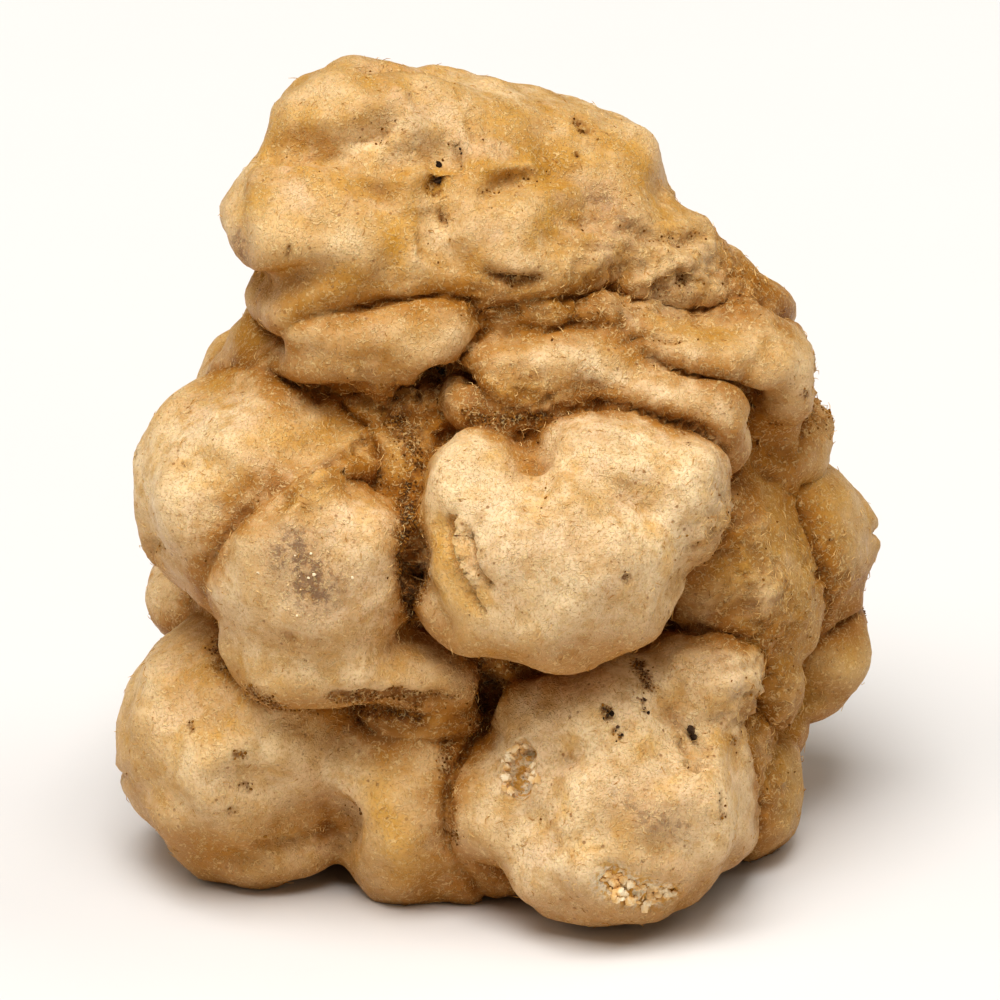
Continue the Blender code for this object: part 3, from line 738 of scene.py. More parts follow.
@dataclass
class TruffleSkin:
    """The whole truffle's skin: the solid's own form, remeshed finely, with its creases, marks and wrinkles.

    Lengths are in mm, but for the distance at which the copy's points are merged, which is in metres. A
    stroke's reach, and where the lip beside it lies and how wide it is, are in the stroke's own widths.
    """

    voxel: float = 0.56
    first_rounds: int = 3
    first_share: float = 0.6
    settle_rounds: int = 4
    settle_share: float = 0.3
    crease_width: float = 0.9
    crease_depth: float = 0.5
    least_crease: float = 0.35
    patch_size: float = 9.0
    contact_shade_reach: float = 3.2
    swell_size: float = 6.5
    small_swell_size: float = 3.1
    undulation: float = 0.50
    bend_size: float = 3.0
    bend: float = 0.9
    flatten: Triple = (0.55, 0.55, 1.25)
    fold_size: float = 1.7
    small_fold_size: float = 1.05
    wrinkle: float = 0.65
    dent_size: float = 2.0
    dent: float = 0.3
    grain_size: float = 0.8
    grain: float = 0.07
    crumble: float = 0.75
    curd_size: float = 2.0
    curd_height: float = 1.1
    name: str = "skin"
    floor_level: float = 0.15
    furthest_step: float = 0.7
    merge: float = 1e-6
    mark_reach: float = 3.2
    lip_at: float = 1.7
    lip_width: float = 0.5
    lip_share: float = 0.22
    torn_lip_share: float = 0.35
    torn_width: float = 1.25
    ridge_clears: float = 0.8

    def fine_copy(self) -> bpy.types.Object:
        """A merged copy of the solid, remeshed into small quads."""
        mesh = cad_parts[NODE].data.copy()
        mesh.name = self.name
        mesh.materials.clear()
        bm = bmesh.new()
        bm.from_mesh(mesh)
        bmesh.ops.remove_doubles(bm, verts=bm.verts[:], dist=self.merge)
        bm.to_mesh(mesh)
        bm.free()
        skin = stand(self.name, mesh)
        fine = skin.modifiers.new("fine", "REMESH")
        fine.mode = "VOXEL"
        fine.voxel_size = self.voxel * MM
        graph = bpy.context.evaluated_depsgraph_get()
        made = bpy.data.meshes.new_from_object(skin.evaluated_get(graph))
        skin.modifiers.clear()
        skin.data = made
        return skin

    def shape(self, skin: SkinMesh) -> None:
        """Settles the fine skin on the form that the solid was grown from, with crisp creases."""
        form = GrownForm()
        floor = skin.points[:, 2] < self.floor_level
        skin.points = skin.spread(skin.points, self.first_rounds, self.first_share)
        for _ in range(self.settle_rounds):
            skin.points = skin.spread(skin.points, 1, self.settle_share)
            height, _, _ = form.measure(skin.points)
            step = np.clip(height, -self.furthest_step, self.furthest_step)
            skin.points -= skin.normals() * step[:, None]
        _, behind, tone = form.measure(skin.points)
        patches = smoothstep(-0.35, 0.25, noise_at(skin.points, self.patch_size, 61.0))
        uneven = self.least_crease + (1.0 - self.least_crease) * patches
        crease = uneven * np.exp(-((behind / self.crease_width) ** 2)) * smoothstep(0.0, 0.6, skin.hollow(12))
        skin.points -= skin.normals() * (self.crease_depth * crease)[:, None]
        # The crease mask browns the creases, partly for soil and partly as painted shade.
        skin.masks["crease"] = skin.spread(crease, 1)
        # Painted shade: the near mask darkens bands beside the creases, where the folds meet.
        skin.masks["near"] = (0.4 + 0.6 * uneven) * np.exp(-np.maximum(behind, 0.0) / self.contact_shade_reach)
        # The tone is partly each fold's own colour, and partly painted shade on the low, far-side and
        # tucked-in folds.
        skin.masks["tone"] = 0.5 + 0.5 * tone
        # Each of these rises between two depths, in mm, under the skin evened over so many rounds. Hollow,
        # valley and deep carry painted shade into the hollows, and crest a painted highlight onto the bumps.
        skin.masks["hollow"] = skin.spread(smoothstep(0.05, 1.2, skin.hollow(30)), 1)
        skin.masks["valley"] = smoothstep(-0.2, 2.4, skin.spread(skin.hollow(90), 4))
        skin.masks["deep"] = smoothstep(0.5, 5.0, skin.hollow(260))
        skin.masks["crest"] = smoothstep(0.1, 1.5, -skin.hollow(60))
        # This one rises as the skin turns to face down, and carries painted shade onto the undersides.
        skin.masks["under"] = smoothstep(0.15, -0.75, skin.spread(skin.normals()[:, 2], 12))
        skin.masks["floor"] = floor.astype(float)

    def draw(self, skin: SkinMesh) -> None:
        """Draws every stroke into the skin's points and masks."""
        for name in ("soil", "torn", "bruise", "ochre", "rough"):
            skin.masks[name] = np.zeros(len(skin.points))
        tree = skin.tree()
        outward = skin.normals()
        moved = np.zeros(len(skin.points))
        for side, strokes in STROKES.items():
            for stroke in strokes:
                self.draw_stroke(skin, stroke, line_on_skin(stroke.points, side, tree), moved)
        skin.points += outward * moved[:, None]

    def draw_stroke(self, skin: SkinMesh, stroke: Stroke, drawn: tuple[Array, Array], moved: Array) -> None:
        """Marks the skin round one stroke's line.

        Args:
            skin: The skin, whose masks take the stroke.
            stroke: The stroke.
            drawn: Its points on the skin, and how far along it each one is.
            moved: How far each point of the skin moves outward, to which the stroke adds.
        """
        line, along = drawn
        reach = self.mark_reach * stroke.width
        low, high = line.min(axis=0) - reach, line.max(axis=0) + reach
        near = np.flatnonzero(((skin.points > low) & (skin.points < high)).all(axis=1))
        apart = np.linalg.norm(skin.points[near][:, None] - line[None], axis=2)
        closest = apart.argmin(axis=1)
        ratio = apart[np.arange(len(near)), closest] / stroke.width
        ends = np.ones_like(ratio)
        if stroke.mark in (Mark.CREASE, Mark.RIDGE):
            ends = np.clip(4.0 * along[closest] * (1.0 - along[closest]), 0.0, 1.0) ** 0.5
        core = np.exp(-(ratio**2)) * ends
        lip = np.exp(-((ratio - self.lip_at) ** 2) / self.lip_width) * ends
        if stroke.mark in (Mark.CREASE, Mark.PIT):
            np.add.at(moved, near, stroke.depth * (self.lip_share * lip - core))
        elif stroke.mark is Mark.RIDGE:
            np.add.at(moved, near, stroke.depth * core)
            for name in ("crease", "hollow", "valley"):
                skin.masks[name][near] *= 1.0 - self.ridge_clears * core
        elif stroke.mark is Mark.TORN:
            np.add.at(moved, near, stroke.depth * (self.torn_lip_share * lip - core))
            skin.raise_mask("torn", near, np.exp(-((ratio / self.torn_width) ** 4)))
        else:
            skin.raise_mask(stroke.mark.value, near, stroke.depth * core)
        if stroke.soil:
            skin.raise_mask("soil", near, stroke.soil * np.exp(-((ratio * 0.8) ** 2)) * ends)

    def wrinkle_all(self, skin: SkinMesh) -> None:
        """Lays slow swells, wrinkles near the creases, and fine grain over the skin."""
        points = skin.points
        valley, hollow = skin.masks["valley"], skin.masks["hollow"]
        rough, torn = skin.masks["rough"], skin.masks["torn"]
        swell = noise_at(points, self.swell_size) + 0.55 * noise_at(points, self.small_swell_size, 9.0)
        warp = np.stack([noise_at(points, self.bend_size, shift) for shift in (3.0, 17.0, 29.0)], axis=1)
        bent = points + self.bend * warp
        flatter = bent * np.array(self.flatten)
        folds = ridges_at(flatter, self.fold_size) * 0.6 + ridges_at(bent, self.small_fold_size, 5.0) * 0.4
        amount = self.wrinkle * (0.10 + 0.75 * valley + 0.45 * hollow + 1.3 * rough)
        dents = np.clip(noise_at(points, self.dent_size, 41.0) - 0.25, 0.0, 1.0)
        crumbs = noise_at(points, 0.9, 13.0) + 0.6 * noise_at(points, 1.6, 23.0)
        curds = np.zeros(len(points))
        curdled = np.flatnonzero(rough + 0.5 * valley > 0.1)
        curds[curdled] = lumps_at(bent[curdled], self.curd_size)
        moved = (
            self.undulation * swell * (1.0 - 0.6 * hollow)
            + amount * (folds - 0.35)
            - self.dent * dents
            + self.grain * noise_at(points, self.grain_size, 31.0)
            + self.crumble * torn * crumbs
            + self.curd_height * np.clip(rough + 0.35 * valley, 0.0, 1.0) * (curds - 0.5)
        )
        skin.points = points + skin.normals() * moved[:, None]
        skin.points[:, 2] = np.where(skin.masks["floor"] > 0.5, 0.0, np.maximum(skin.points[:, 2], 0.0))
        # The fold mask carries painted shade into the wrinkles' troughs.
        skin.masks["fold"] = smoothstep(0.1, 0.75, 1.0 - folds) * np.clip(amount * 2.2, 0.0, 1.0)

    def build(self) -> tuple[bpy.types.Object, SkinMesh]:
        """Makes the skin object, which stands in for the plain solid.

        Returns:
            The skin, and its points and masks.
        """
        body = self.fine_copy()
        skin = SkinMesh(body.data)
        self.shape(skin)
        self.draw(skin)
        self.wrinkle_all(skin)
        skin.write()
        body.data.shade_smooth()
        body.data.materials.append(PeridiumFinish().make())
        return body, skin


def drifting_noise() -> bpy.types.NodeTree:
    """Finds or builds the node group of a noise that can be moved, which every finish uses.

    Returns:
        The group, from Vector, Shift, Scale, Detail and Roughness to Value.
    """
    name = "drifting_noise"
    if name in bpy.data.node_groups:
        return bpy.data.node_groups[name]
    group = bpy.data.node_groups.new(name, "ShaderNodeTree")
    for socket in ("Vector", "Shift"):
        group.interface.new_socket(socket, in_out="INPUT", socket_type="NodeSocketVector")
    for socket in ("Scale", "Detail", "Roughness"):
        group.interface.new_socket(socket, in_out="INPUT", socket_type="NodeSocketFloat")
    group.interface.new_socket("Value", in_out="OUTPUT", socket_type="NodeSocketFloat")
    given = group.nodes.new("NodeGroupInput")
    moved = group.nodes.new("ShaderNodeMapping")
    made = group.nodes.new("ShaderNodeTexNoise")
    result = group.nodes.new("NodeGroupOutput")
    group.links.new(given.outputs["Vector"], moved.inputs["Vector"])
    group.links.new(given.outputs["Shift"], moved.inputs["Location"])
    group.links.new(moved.outputs["Vector"], made.inputs["Vector"])
    for socket in ("Scale", "Detail", "Roughness"):
        group.links.new(given.outputs[socket], made.inputs[socket])
    group.links.new(made.outputs["Fac"], result.inputs["Value"])
    return group


class Nodes:
    """A material's node tree, with short calls for the nodes that the finishes use."""

    def __init__(self, name: str) -> None:
        """Starts a material of this name with one principled shader."""
        self.material = bpy.data.materials.new(name)
        self.material.use_nodes = True
        self.tree = self.material.node_tree
        self.shader = self.tree.nodes["Principled BSDF"]

    def add(self, kind: str, **values: object) -> bpy.types.Node:
        """Adds a node and sets its properties, or its inputs by name where it has no such property."""
        node = self.tree.nodes.new(kind)
        for key, value in values.items():
            if hasattr(node, key):
                setattr(node, key, value)
            else:
                node.inputs[key].default_value = value
        return node

    def link(self, source: Socket, target: Socket) -> None:
        """Links two sockets."""
        self.tree.links.new(source, target)

    def place(self) -> Socket:
        """The Object coordinates."""
        return self.add("ShaderNodeTexCoord").outputs["Object"]

    def mask(self, name: str) -> Socket:
        """A mask that the mesh holds for each point."""
        return self.add("ShaderNodeAttribute", attribute_name=name).outputs["Fac"]

    def noise(self, place: Socket, size: float, detail: float = 3.0, rough: float = 0.55,
              shift: float = 0.0) -> Socket:
        """Noise from 0 to 1 whose lumps are size mm apart."""
        made = self.add("ShaderNodeGroup", node_tree=drifting_noise())
        made.inputs["Shift"].default_value = (shift, shift * 0.7, shift * 0.4)
        made.inputs["Scale"].default_value = 1.0 / (size * MM)
        made.inputs["Detail"].default_value = detail
        made.inputs["Roughness"].default_value = rough
        self.link(place, made.inputs["Vector"])
        return made.outputs["Value"]

    def ramp(self, value: Socket, low: float, high: float, start: float = 0.0, end: float = 1.0) -> Socket:
        """Maps low to high smoothly onto start to end."""
        made = self.add("ShaderNodeMapRange", interpolation_type="SMOOTHSTEP")
        for key, number in (("From Min", low), ("From Max", high), ("To Min", start), ("To Max", end)):
            made.inputs[key].default_value = number
        self.link(value, made.inputs["Value"])
        return made.outputs["Result"]

    def math(self, operation: str, first: Socket | float, second: Socket | float,
             clamp: bool = False) -> Socket:
        """One sum of two sockets or numbers."""
        made = self.add("ShaderNodeMath", operation=operation, use_clamp=clamp)
        for socket, value in zip(made.inputs, (first, second)):
            if isinstance(value, Socket):
                self.link(value, socket)
            else:
                socket.default_value = value
        return made.outputs["Value"]

    def mix(self, share: Socket, first: Socket | Colour, second: Socket | Colour) -> Socket:
        """Mixes two colours by a mask."""
        made = self.add("ShaderNodeMix", data_type="RGBA")
        self.link(share, made.inputs[MIX_SHARE])
        for socket, value in ((made.inputs[MIX_FIRST], first), (made.inputs[MIX_SECOND], second)):
            if isinstance(value, Socket):
                self.link(value, socket)
            else:
                socket.default_value = opaque(value)
        return made.outputs[MIX_RESULT]

    def times(self, first: Socket, second: Socket | float) -> Socket:
        """The product of a socket and another socket or a number."""
        return self.math("MULTIPLY", first, second)

    def fix(self, **values: float | Triple) -> None:
        """Sets the shader's own inputs, whose names have a line in place of each space."""
        for key, value in values.items():
            self.shader.inputs[key.replace("_", " ")].default_value = value

    def tint(self, under: Socket, over: Socket | Colour, value: Socket, low: float, high: float,
             most: float) -> Socket:
        """Lays a colour over another where the value rises from low to high, up to a share of most."""
        return self.mix(self.ramp(value, low, high, 0.0, most), under, over)

    def bump(self, height: Socket, depth: float, strength: float = 1.0,
             under: Socket | None = None) -> Socket:
        """A bump of so many mm, over another one if given."""
        made = self.add("ShaderNodeBump", Strength=strength, Distance=depth * MM)
        self.link(height, made.inputs["Height"])
        if under is not None:
            self.link(under, made.inputs["Normal"])
        return made.outputs["Normal"]


@dataclass(frozen=True)
class PeridiumFinish:
    """The truffle's skin: cream and gold, orange-brown with soil and painted shade in its creases, grey and
    yellow in patches.
    """

    tan: Colour = (0.535, 0.268, 0.040)
    cream: Colour = (0.960, 0.735, 0.445)
    rose: Colour = (0.830, 0.570, 0.350)
    ochre: Colour = (0.700, 0.370, 0.052)
    olive: Colour = (0.440, 0.260, 0.062)
    amber: Colour = (0.390, 0.150, 0.006)
    brown: Colour = (0.180, 0.058, 0.002)
    dark: Colour = (0.040, 0.017, 0.003)
    grey: Colour = (0.520, 0.330, 0.185)
    bruise: Colour = (0.225, 0.130, 0.072)
    flesh: Colour = (0.930, 0.800, 0.580)
    speck: Colour = (0.260, 0.110, 0.028)
    fuzz: Colour = (0.900, 0.660, 0.330)

    def colour(self, made: Nodes, place: Socket) -> Socket:
        """The skin's colour without its soil, specks and fibres, but with its painted shade and painted
        highlights.

        Args:
            made: The material's nodes.
            place: The Object coordinates.

        Returns:
            The colour socket.
        """
        wide = made.noise(place, 10.0, 3.0, 0.6)
        middle = made.noise(place, 4.0, 4.0, 0.6, 1.7)
        small = made.noise(place, 1.1, 3.0, 0.65, 3.1)
        # The tone mask pales or browns whole folds: their own colour, and painted shade on the low and
        # far-side ones.
        paler = made.math("ADD", made.math("SUBTRACT", wide, 0.5), made.mask("tone"))
        skin = made.mix(made.ramp(paler, 0.20, 0.72), self.tan, self.cream)
        # Each tint says what it follows, where it starts and is full, and how strong it gets.
        skin = made.tint(skin, self.rose, made.noise(place, 7.0, 3.0, 0.6, 9.1), 0.50, 0.66, 0.45)
        skin = made.tint(skin, self.ochre, middle, 0.48, 0.70, 0.6)
        skin = made.tint(skin, self.tan, made.noise(place, 1.9, 3.0, 0.6, 4.4), 0.46, 0.64, 0.5)
        # Painted highlight: the crests turn cream.
        skin = made.mix(made.times(made.mask("crest"), 0.5), skin, self.cream)
        # Partly the folds' own colour, partly painted shade: the folds of lowest tone, low and on the far
        # sides, turn olive.
        skin = made.tint(skin, self.olive, made.mask("tone"), 0.34, 0.08, 0.85)
        skin = made.tint(skin, self.grey, made.noise(place, 9.0, 3.0, 0.6, 7.3), 0.54, 0.74, 0.38)
        skin = made.mix(made.times(made.mask("bruise"), 0.7), skin, self.grey)
        bruised = made.times(made.mask("bruise"), made.ramp(small, 0.35, 0.60, 0.15, 1.0))
        skin = made.tint(skin, self.bruise, bruised, 0.30, 0.95, 0.80)
        skin = made.mix(made.times(made.mask("ochre"), 0.7), skin, self.ochre)
        # Painted shade: the undersides turn amber.
        skin = made.mix(made.times(made.mask("under"), 0.75), skin, self.amber)
        # Painted shade: the valleys turn amber.
        valley = made.times(made.mask("valley"), made.ramp(middle, 0.2, 0.7, 0.6, 1.0))
        skin = made.tint(skin, self.amber, valley, 0.04, 0.50, 0.90)
        # Painted shade: bands beside the creases turn amber and brown.
        contact_shade = made.times(made.mask("near"), made.ramp(middle, 0.30, 0.62, 0.35, 1.0))
        skin = made.tint(skin, self.amber, contact_shade, 0.06, 0.60, 0.80)
        skin = made.tint(skin, self.brown, contact_shade, 0.45, 0.95, 0.55)
        # Painted shade: the broad hollows turn amber.
        deep = made.times(made.mask("deep"), made.ramp(middle, 0.2, 0.7, 0.6, 1.0))
        skin = made.tint(skin, self.amber, deep, 0.05, 0.70, 0.75)
        # Painted shade: the wrinkles' troughs turn brown.
        skin = made.mix(made.times(made.mask("fold"), 0.45), skin, self.brown)
        # Painted shade: the small hollows turn brown.
        hollow = made.times(made.mask("hollow"), made.ramp(small, 0.25, 0.6, 0.5, 1.0))
        skin = made.tint(skin, self.brown, hollow, 0.15, 0.9, 0.8)
        # Soil and painted shade: the creases turn brown and nearly black.
        crease = made.times(made.mask("crease"), made.ramp(small, 0.3, 0.6, 0.55, 1.0))
        skin = made.tint(skin, self.brown, crease, 0.2, 0.9, 0.85)
        return made.tint(skin, self.dark, crease, 0.65, 1.0, 0.75)

    def soil(self, made: Nodes, place: Socket, skin: Socket) -> Socket:
        """Lays soil and fine brown specks over the skin's colour.

        Args:
            made: The material's nodes.
            place: The Object coordinates.
            skin: The colour so far.

        Returns:
            The colour socket.
        """
        broken = made.ramp(made.noise(place, 0.8, 3.0, 0.7, 5.2), 0.3, 0.6, 0.25, 1.0)
        dirt = made.times(made.mask("soil"), broken)
        skin = made.tint(skin, self.brown, dirt, 0.10, 0.60, 0.80)
        skin = made.tint(skin, self.dark, dirt, 0.50, 0.90, 0.90)
        for size, shift, reach, share in ((1.5, 11.0, 0.16, 0.75), (0.7, 17.0, 0.20, 0.55)):
            cell = made.add("ShaderNodeTexVoronoi", Scale=1.0 / (size * MM), Randomness=1.0)
            made.link(place, cell.inputs["Vector"])
            patchy = made.ramp(made.noise(place, 5.0 * size, 2.0, 0.5, shift), 0.36, 0.60)
            dot = made.ramp(cell.outputs["Distance"], 0.5 * reach, reach, 1.0, 0.0)
            skin = made.mix(made.times(made.times(dot, patchy), share), skin, self.speck)
        return skin

    def fibres(self, made: Nodes, place: Socket, size: float, shift: float) -> Socket:
        """A mask of short curled fibres, broken lines on the level sets of a noise.

        Args:
            made: The material's nodes.
            place: The Object coordinates.
            size: How far apart the fibres lie, in mm.
            shift: Moves the pattern, so that layers differ.

        Returns:
            The mask.
        """
        level = made.noise(place, size, 1.0, 0.4, shift)
        off = made.math("ABSOLUTE", made.math("SUBTRACT", level, 0.5), 0.0)
        line = made.ramp(off, 0.015, 0.060, 1.0, 0.0)
        broken = made.ramp(made.noise(place, 0.9 * size, 1.0, 0.5, shift + 5.0), 0.48, 0.58)
        return made.times(line, broken)

    def make(self) -> bpy.types.Material:
        """Builds the skin's material.

        Returns:
            The material.
        """
        made = Nodes("peridium_skin")
        place = made.place()
        skin = self.soil(made, place, self.colour(made, place))
        sunk = made.math("ADD", made.mask("valley"), made.mask("hollow"), clamp=True)
        ridges = made.add("ShaderNodeTexNoise", noise_type="RIDGED_MULTIFRACTAL", Scale=1.0 / (1.7 * MM),
                          Detail=3.0, Roughness=0.55)
        made.link(place, ridges.inputs["Vector"])
        ridged = ridges.outputs["Fac"]
        wrinkled = made.math("ADD", made.mask("valley"), made.mask("rough"), clamp=True)
        wrinkle = made.times(ridged, made.ramp(wrinkled, 0.0, 0.8, 0.10, 1.0))
        skin = made.tint(skin, self.ochre, wrinkle, 0.25, 0.9, 0.30)
        felt = made.math("MAXIMUM", self.fibres(made, place, 0.62, 13.0),
                         self.fibres(made, place, 0.45, 29.0))
        skin = made.mix(made.times(self.fibres(made, place, 0.55, 41.0), 0.24), skin, self.amber)
        skin = made.mix(made.times(felt, made.ramp(sunk, 0.1, 0.8, 0.48, 0.26)), skin, self.fuzz)
        mottle = made.noise(place, 0.35, 3.0, 0.8, 19.0)
        skin = made.tint(skin, self.amber, mottle, 0.46, 0.28, 0.60)
        ragged = made.ramp(made.noise(place, 0.8, 3.0, 0.6, 23.0), 0.42, 0.58)
        torn = made.mix(ragged, self.ochre, self.flesh)
        skin = made.mix(made.times(made.mask("torn"), 0.85), skin, torn)
        made.link(skin, made.shader.inputs["Base Color"])
        waxy = made.ramp(made.noise(place, 2.2, 3.0, 0.6, 21.0), 0.3, 0.7, 0.38, 0.56)
        dull = made.math("ADD", sunk, made.mask("soil"), clamp=True)
        rough = made.math("ADD", waxy, made.times(dull, 0.42), clamp=True)
        made.link(rough, made.shader.inputs["Roughness"])
        low = made.bump(wrinkle, 0.45, 0.8)
        lumps = made.bump(made.noise(place, 1.1, 4.0, 0.65, 2.0), 0.34, 0.8, low)
        pitted = made.bump(mottle, 0.10, 0.8, lumps)
        made.link(made.bump(felt, 0.08, 0.9, pitted), made.shader.inputs["Normal"])
        made.fix(Subsurface_Weight=0.12, Subsurface_Radius=(1.0, 0.55, 0.25), Subsurface_Scale=1.2 * MM,
                 Specular_IOR_Level=0.32)
        return made.material


@dataclass(frozen=True)
class BitsFinish:
    """The colour of loose bits on the skin: two shades that change from bit to bit."""

    name: str
    first: Colour
    second: Colour
    roughness: float = 0.8
    specular: float = 0.06

    def make(self) -> bpy.types.Material:
        """Builds the bits' material.

        Returns:
            The material.
        """
        made = Nodes(self.name)
        place = made.place()
        shade = made.mix(made.ramp(made.noise(place, 1.4, 2.0, 0.5, 3.0), 0.4, 0.6), self.first, self.second)
        made.link(shade, made.shader.inputs["Base Color"])
        made.link(made.bump(made.noise(place, 0.15, 2.0), 0.04, 0.6), made.shader.inputs["Normal"])
        made.fix(Roughness=self.roughness, Specular_IOR_Level=self.specular)
        return made.material


SOIL_FINISH = BitsFinish("soil_grains", (0.140, 0.058, 0.009), (0.350, 0.165, 0.030))
DARK_FINISH = BitsFinish("dark_grains", (0.030, 0.019, 0.013), (0.110, 0.065, 0.038))
FLESH_FINISH = BitsFinish("pale_crumbs", (0.950, 0.800, 0.560), (0.820, 0.540, 0.240))
FELT_FINISH = BitsFinish("felt_fibres", (0.820, 0.570, 0.260), (0.480, 0.240, 0.060))


@dataclass(frozen=True)
class Cluster:
    """Loose bits along a line on the skin, seen from a side. Lengths are in mm."""

    points: Line
    spread: float
    size: float
    count: int
    side: Side = Side.FRONT


DARK_CLUSTERS = (
    Cluster(((-6.1, 73.4), (-6.3, 72.9)), 0.14, 0.34, 7),
    Cluster(((-3.9, 74.9), (-3.9, 74.4)), 0.20, 0.12, 3),
    Cluster(((18.8, 21), (18.9, 20.6)), 0.10, 0.34, 3),
    Cluster(((19.2, 20), (19.5, 19.6)), 0.10, 0.30, 3),
    Cluster(((10.4, 24.2), (10.7, 23.4)), 0.30, 0.20, 9),
    Cluster(((11.4, 22.4), (11.8, 22)), 0.25, 0.16, 5),
    Cluster(((14, 24.2), (14.3, 23.6)), 0.25, 0.16, 6),
    Cluster(((-6.8, 54.6), (-6, 54)), 0.60, 0.26, 12),
    Cluster(((-27.6, 26.6), (-26.8, 25.8)), 0.50, 0.24, 8),
)
PALE_CLUSTERS = (
    Cluster(((0.8, 18.4), (1.4, 19), (2.4, 19)), 0.22, 0.42, 16),
    Cluster(((0.6, 18.2), (0.7, 17), (1.2, 15.8)), 0.20, 0.38, 14),
    Cluster(((3.4, 18.2), (3.5, 17.2), (2.8, 16.2)), 0.20, 0.38, 12),
    Cluster(((10.4, 9.6), (11.8, 8.6), (13.4, 7.6), (16.6, 6.2)), 0.40, 0.46, 70),
    Cluster(((11, 7.8), (12.8, 6.6), (15.4, 5.2)), 0.35, 0.42, 44),
    Cluster(((-20.4, 40.2), (-19, 38.6)), 1.80, 0.16, 12),
)


@dataclass
class LooseBits:
    """Bits that lie on the skin, merged into one piece. Lengths are in mm.

    A grain is a rough little ball, pressed flatter. A fibre is two thin tapered rods with a bend between.
    """

    name: str
    finish: BitsFinish
    size: tuple[float, float]
    seed: int
    fibre: bool = False
    batch: int = 40
    raised: float = 0.25
    fibre_width: float = 0.045
    press: tuple[float, float] = (0.55, 1.25)
    uneven: tuple[float, float] = (0.6, 1.25)
    lift: tuple[float, float] = (0.05, 0.55)
    sideways: tuple[float, float] = (-1.3, 1.3)
    droop: tuple[float, float] = (0.0, 0.5)

    def add_grain(self, bm: bmesh.types.BMesh, at: Array, size: float, draw: np.random.Generator) -> None:
        """Adds one grain.

        Args:
            bm: The piece's mesh.
            at: Its middle, in mm.
            size: Its radius, in mm.
            draw: The seeded numbers.
        """
        turned = Euler(tuple(draw.uniform(0, 2 * math.pi, 3))).to_matrix().to_4x4()
        pressed = Matrix.Diagonal((*(size * MM * draw.uniform(*self.press, 3)), 1.0))
        made = bmesh.ops.create_icosphere(bm, subdivisions=1, radius=1.0)["verts"]
        for vert in made:
            vert.co *= draw.uniform(*self.uneven)
        bmesh.ops.transform(bm, matrix=Matrix.Translation(Vector(at) * MM) @ turned @ pressed, verts=made)

    def add_fibre(self, bm: bmesh.types.BMesh, at: Array, out: Array, length: float,
                  draw: np.random.Generator) -> None:
        """Adds one curled fibre that lies along the skin and lifts off it.

        Args:
            bm: The piece's mesh.
            at: Where it starts, in mm.
            out: The skin's outward direction there.
            length: Its length, in mm.
            draw: The seeded numbers.
        """
        along = np.cross(out, draw.normal(size=3))
        along /= np.linalg.norm(along)
        side = np.cross(out, along)
        way = along + draw.uniform(*self.lift) * out
        start = np.array(at)
        width = self.fibre_width
        for thinner in (0.8, 0.5):
            way /= np.linalg.norm(way)
            turn = Vector((0, 0, 1)).rotation_difference(Vector(way)).to_matrix().to_4x4()
            middle = start + way * length / 4
            bmesh.ops.create_cone(
                bm, cap_ends=False, segments=3, radius1=width * MM, radius2=width * thinner * MM,
                depth=length / 2 * MM, matrix=Matrix.Translation(Vector(middle) * MM) @ turn)
            start = start + way * length / 2
            width *= thinner
            way = way + draw.uniform(*self.sideways) * side - draw.uniform(*self.droop) * out

    def build(self, skin: SkinMesh, weight: Array | None, count: int,
              clusters: tuple[Cluster, ...] = ()) -> bpy.types.Object:
        """Lays the bits on the skin.

        Args:
            skin: The finished skin.
            weight: How likely each of its points is to hold a bit, or None for clusters alone.
            count: How many bits lie where the weight says.
            clusters: Bits that lie at named places.

        Returns:
            The piece.
        """
        draw = np.random.default_rng(self.seed)
        outward = skin.normals()
        spots: list[tuple[Array, Array, float]] = []
        if weight is not None:
            picked = draw.choice(len(weight), count, p=weight / weight.sum())
            spots += [(skin.points[spot], outward[spot], draw.uniform(*self.size)) for spot in picked]
        tree = skin.tree() if clusters else None
        for cluster in clusters:
            line, _ = line_on_skin(cluster.points, cluster.side, tree)
            for _ in range(cluster.count):
                off = draw.normal(0.0, cluster.spread, 3)
                at, way, _, _ = tree.find_nearest(Vector(line[draw.integers(len(line))] + off))
                spots.append((np.array(at), np.array(way), cluster.size * draw.uniform(*self.size)))
        mesh = bpy.data.meshes.new(self.name)
        part = bpy.data.meshes.new("batch")
        whole = bmesh.new()
        for first in range(0, len(spots), self.batch):
            bm = bmesh.new()
            for at, out, size in spots[first:first + self.batch]:
                if self.fibre:
                    self.add_fibre(bm, at, out, size, draw)
                else:
                    self.add_grain(bm, at + out * size * self.raised, size, draw)
            bm.to_mesh(part)
            bm.free()
            whole.from_mesh(part)
        for vert in whole.verts:
            vert.co.z = max(vert.co.z, 0.0)
        whole.to_mesh(mesh)
        whole.free()
        bpy.data.meshes.remove(part)
        mesh.materials.append(self.finish.make())
        return stand(self.name, mesh)


@dataclass(frozen=True)
class Light:
    """A soft square light. Lengths are in metres, and its power is in watts."""

    name: str
    at: Triple
    size: float
    power: float
    colour: Colour = (1.0, 1.0, 1.0)


LIGHTS = (
    Light("key", (-0.55, -1.50, 4.90), 3.80, 278.0),
    Light("side", (2.60, 0.60, 3.40), 3.00, 40.0, (1.0, 0.96, 0.90)),
    Light("left", (-2.60, -0.60, 1.60), 2.00, 14.0, (1.0, 0.95, 0.86)),
    Light("fill", (1.60, -2.60, 1.20), 1.50, 6.0, (1.0, 0.88, 0.70)),
)


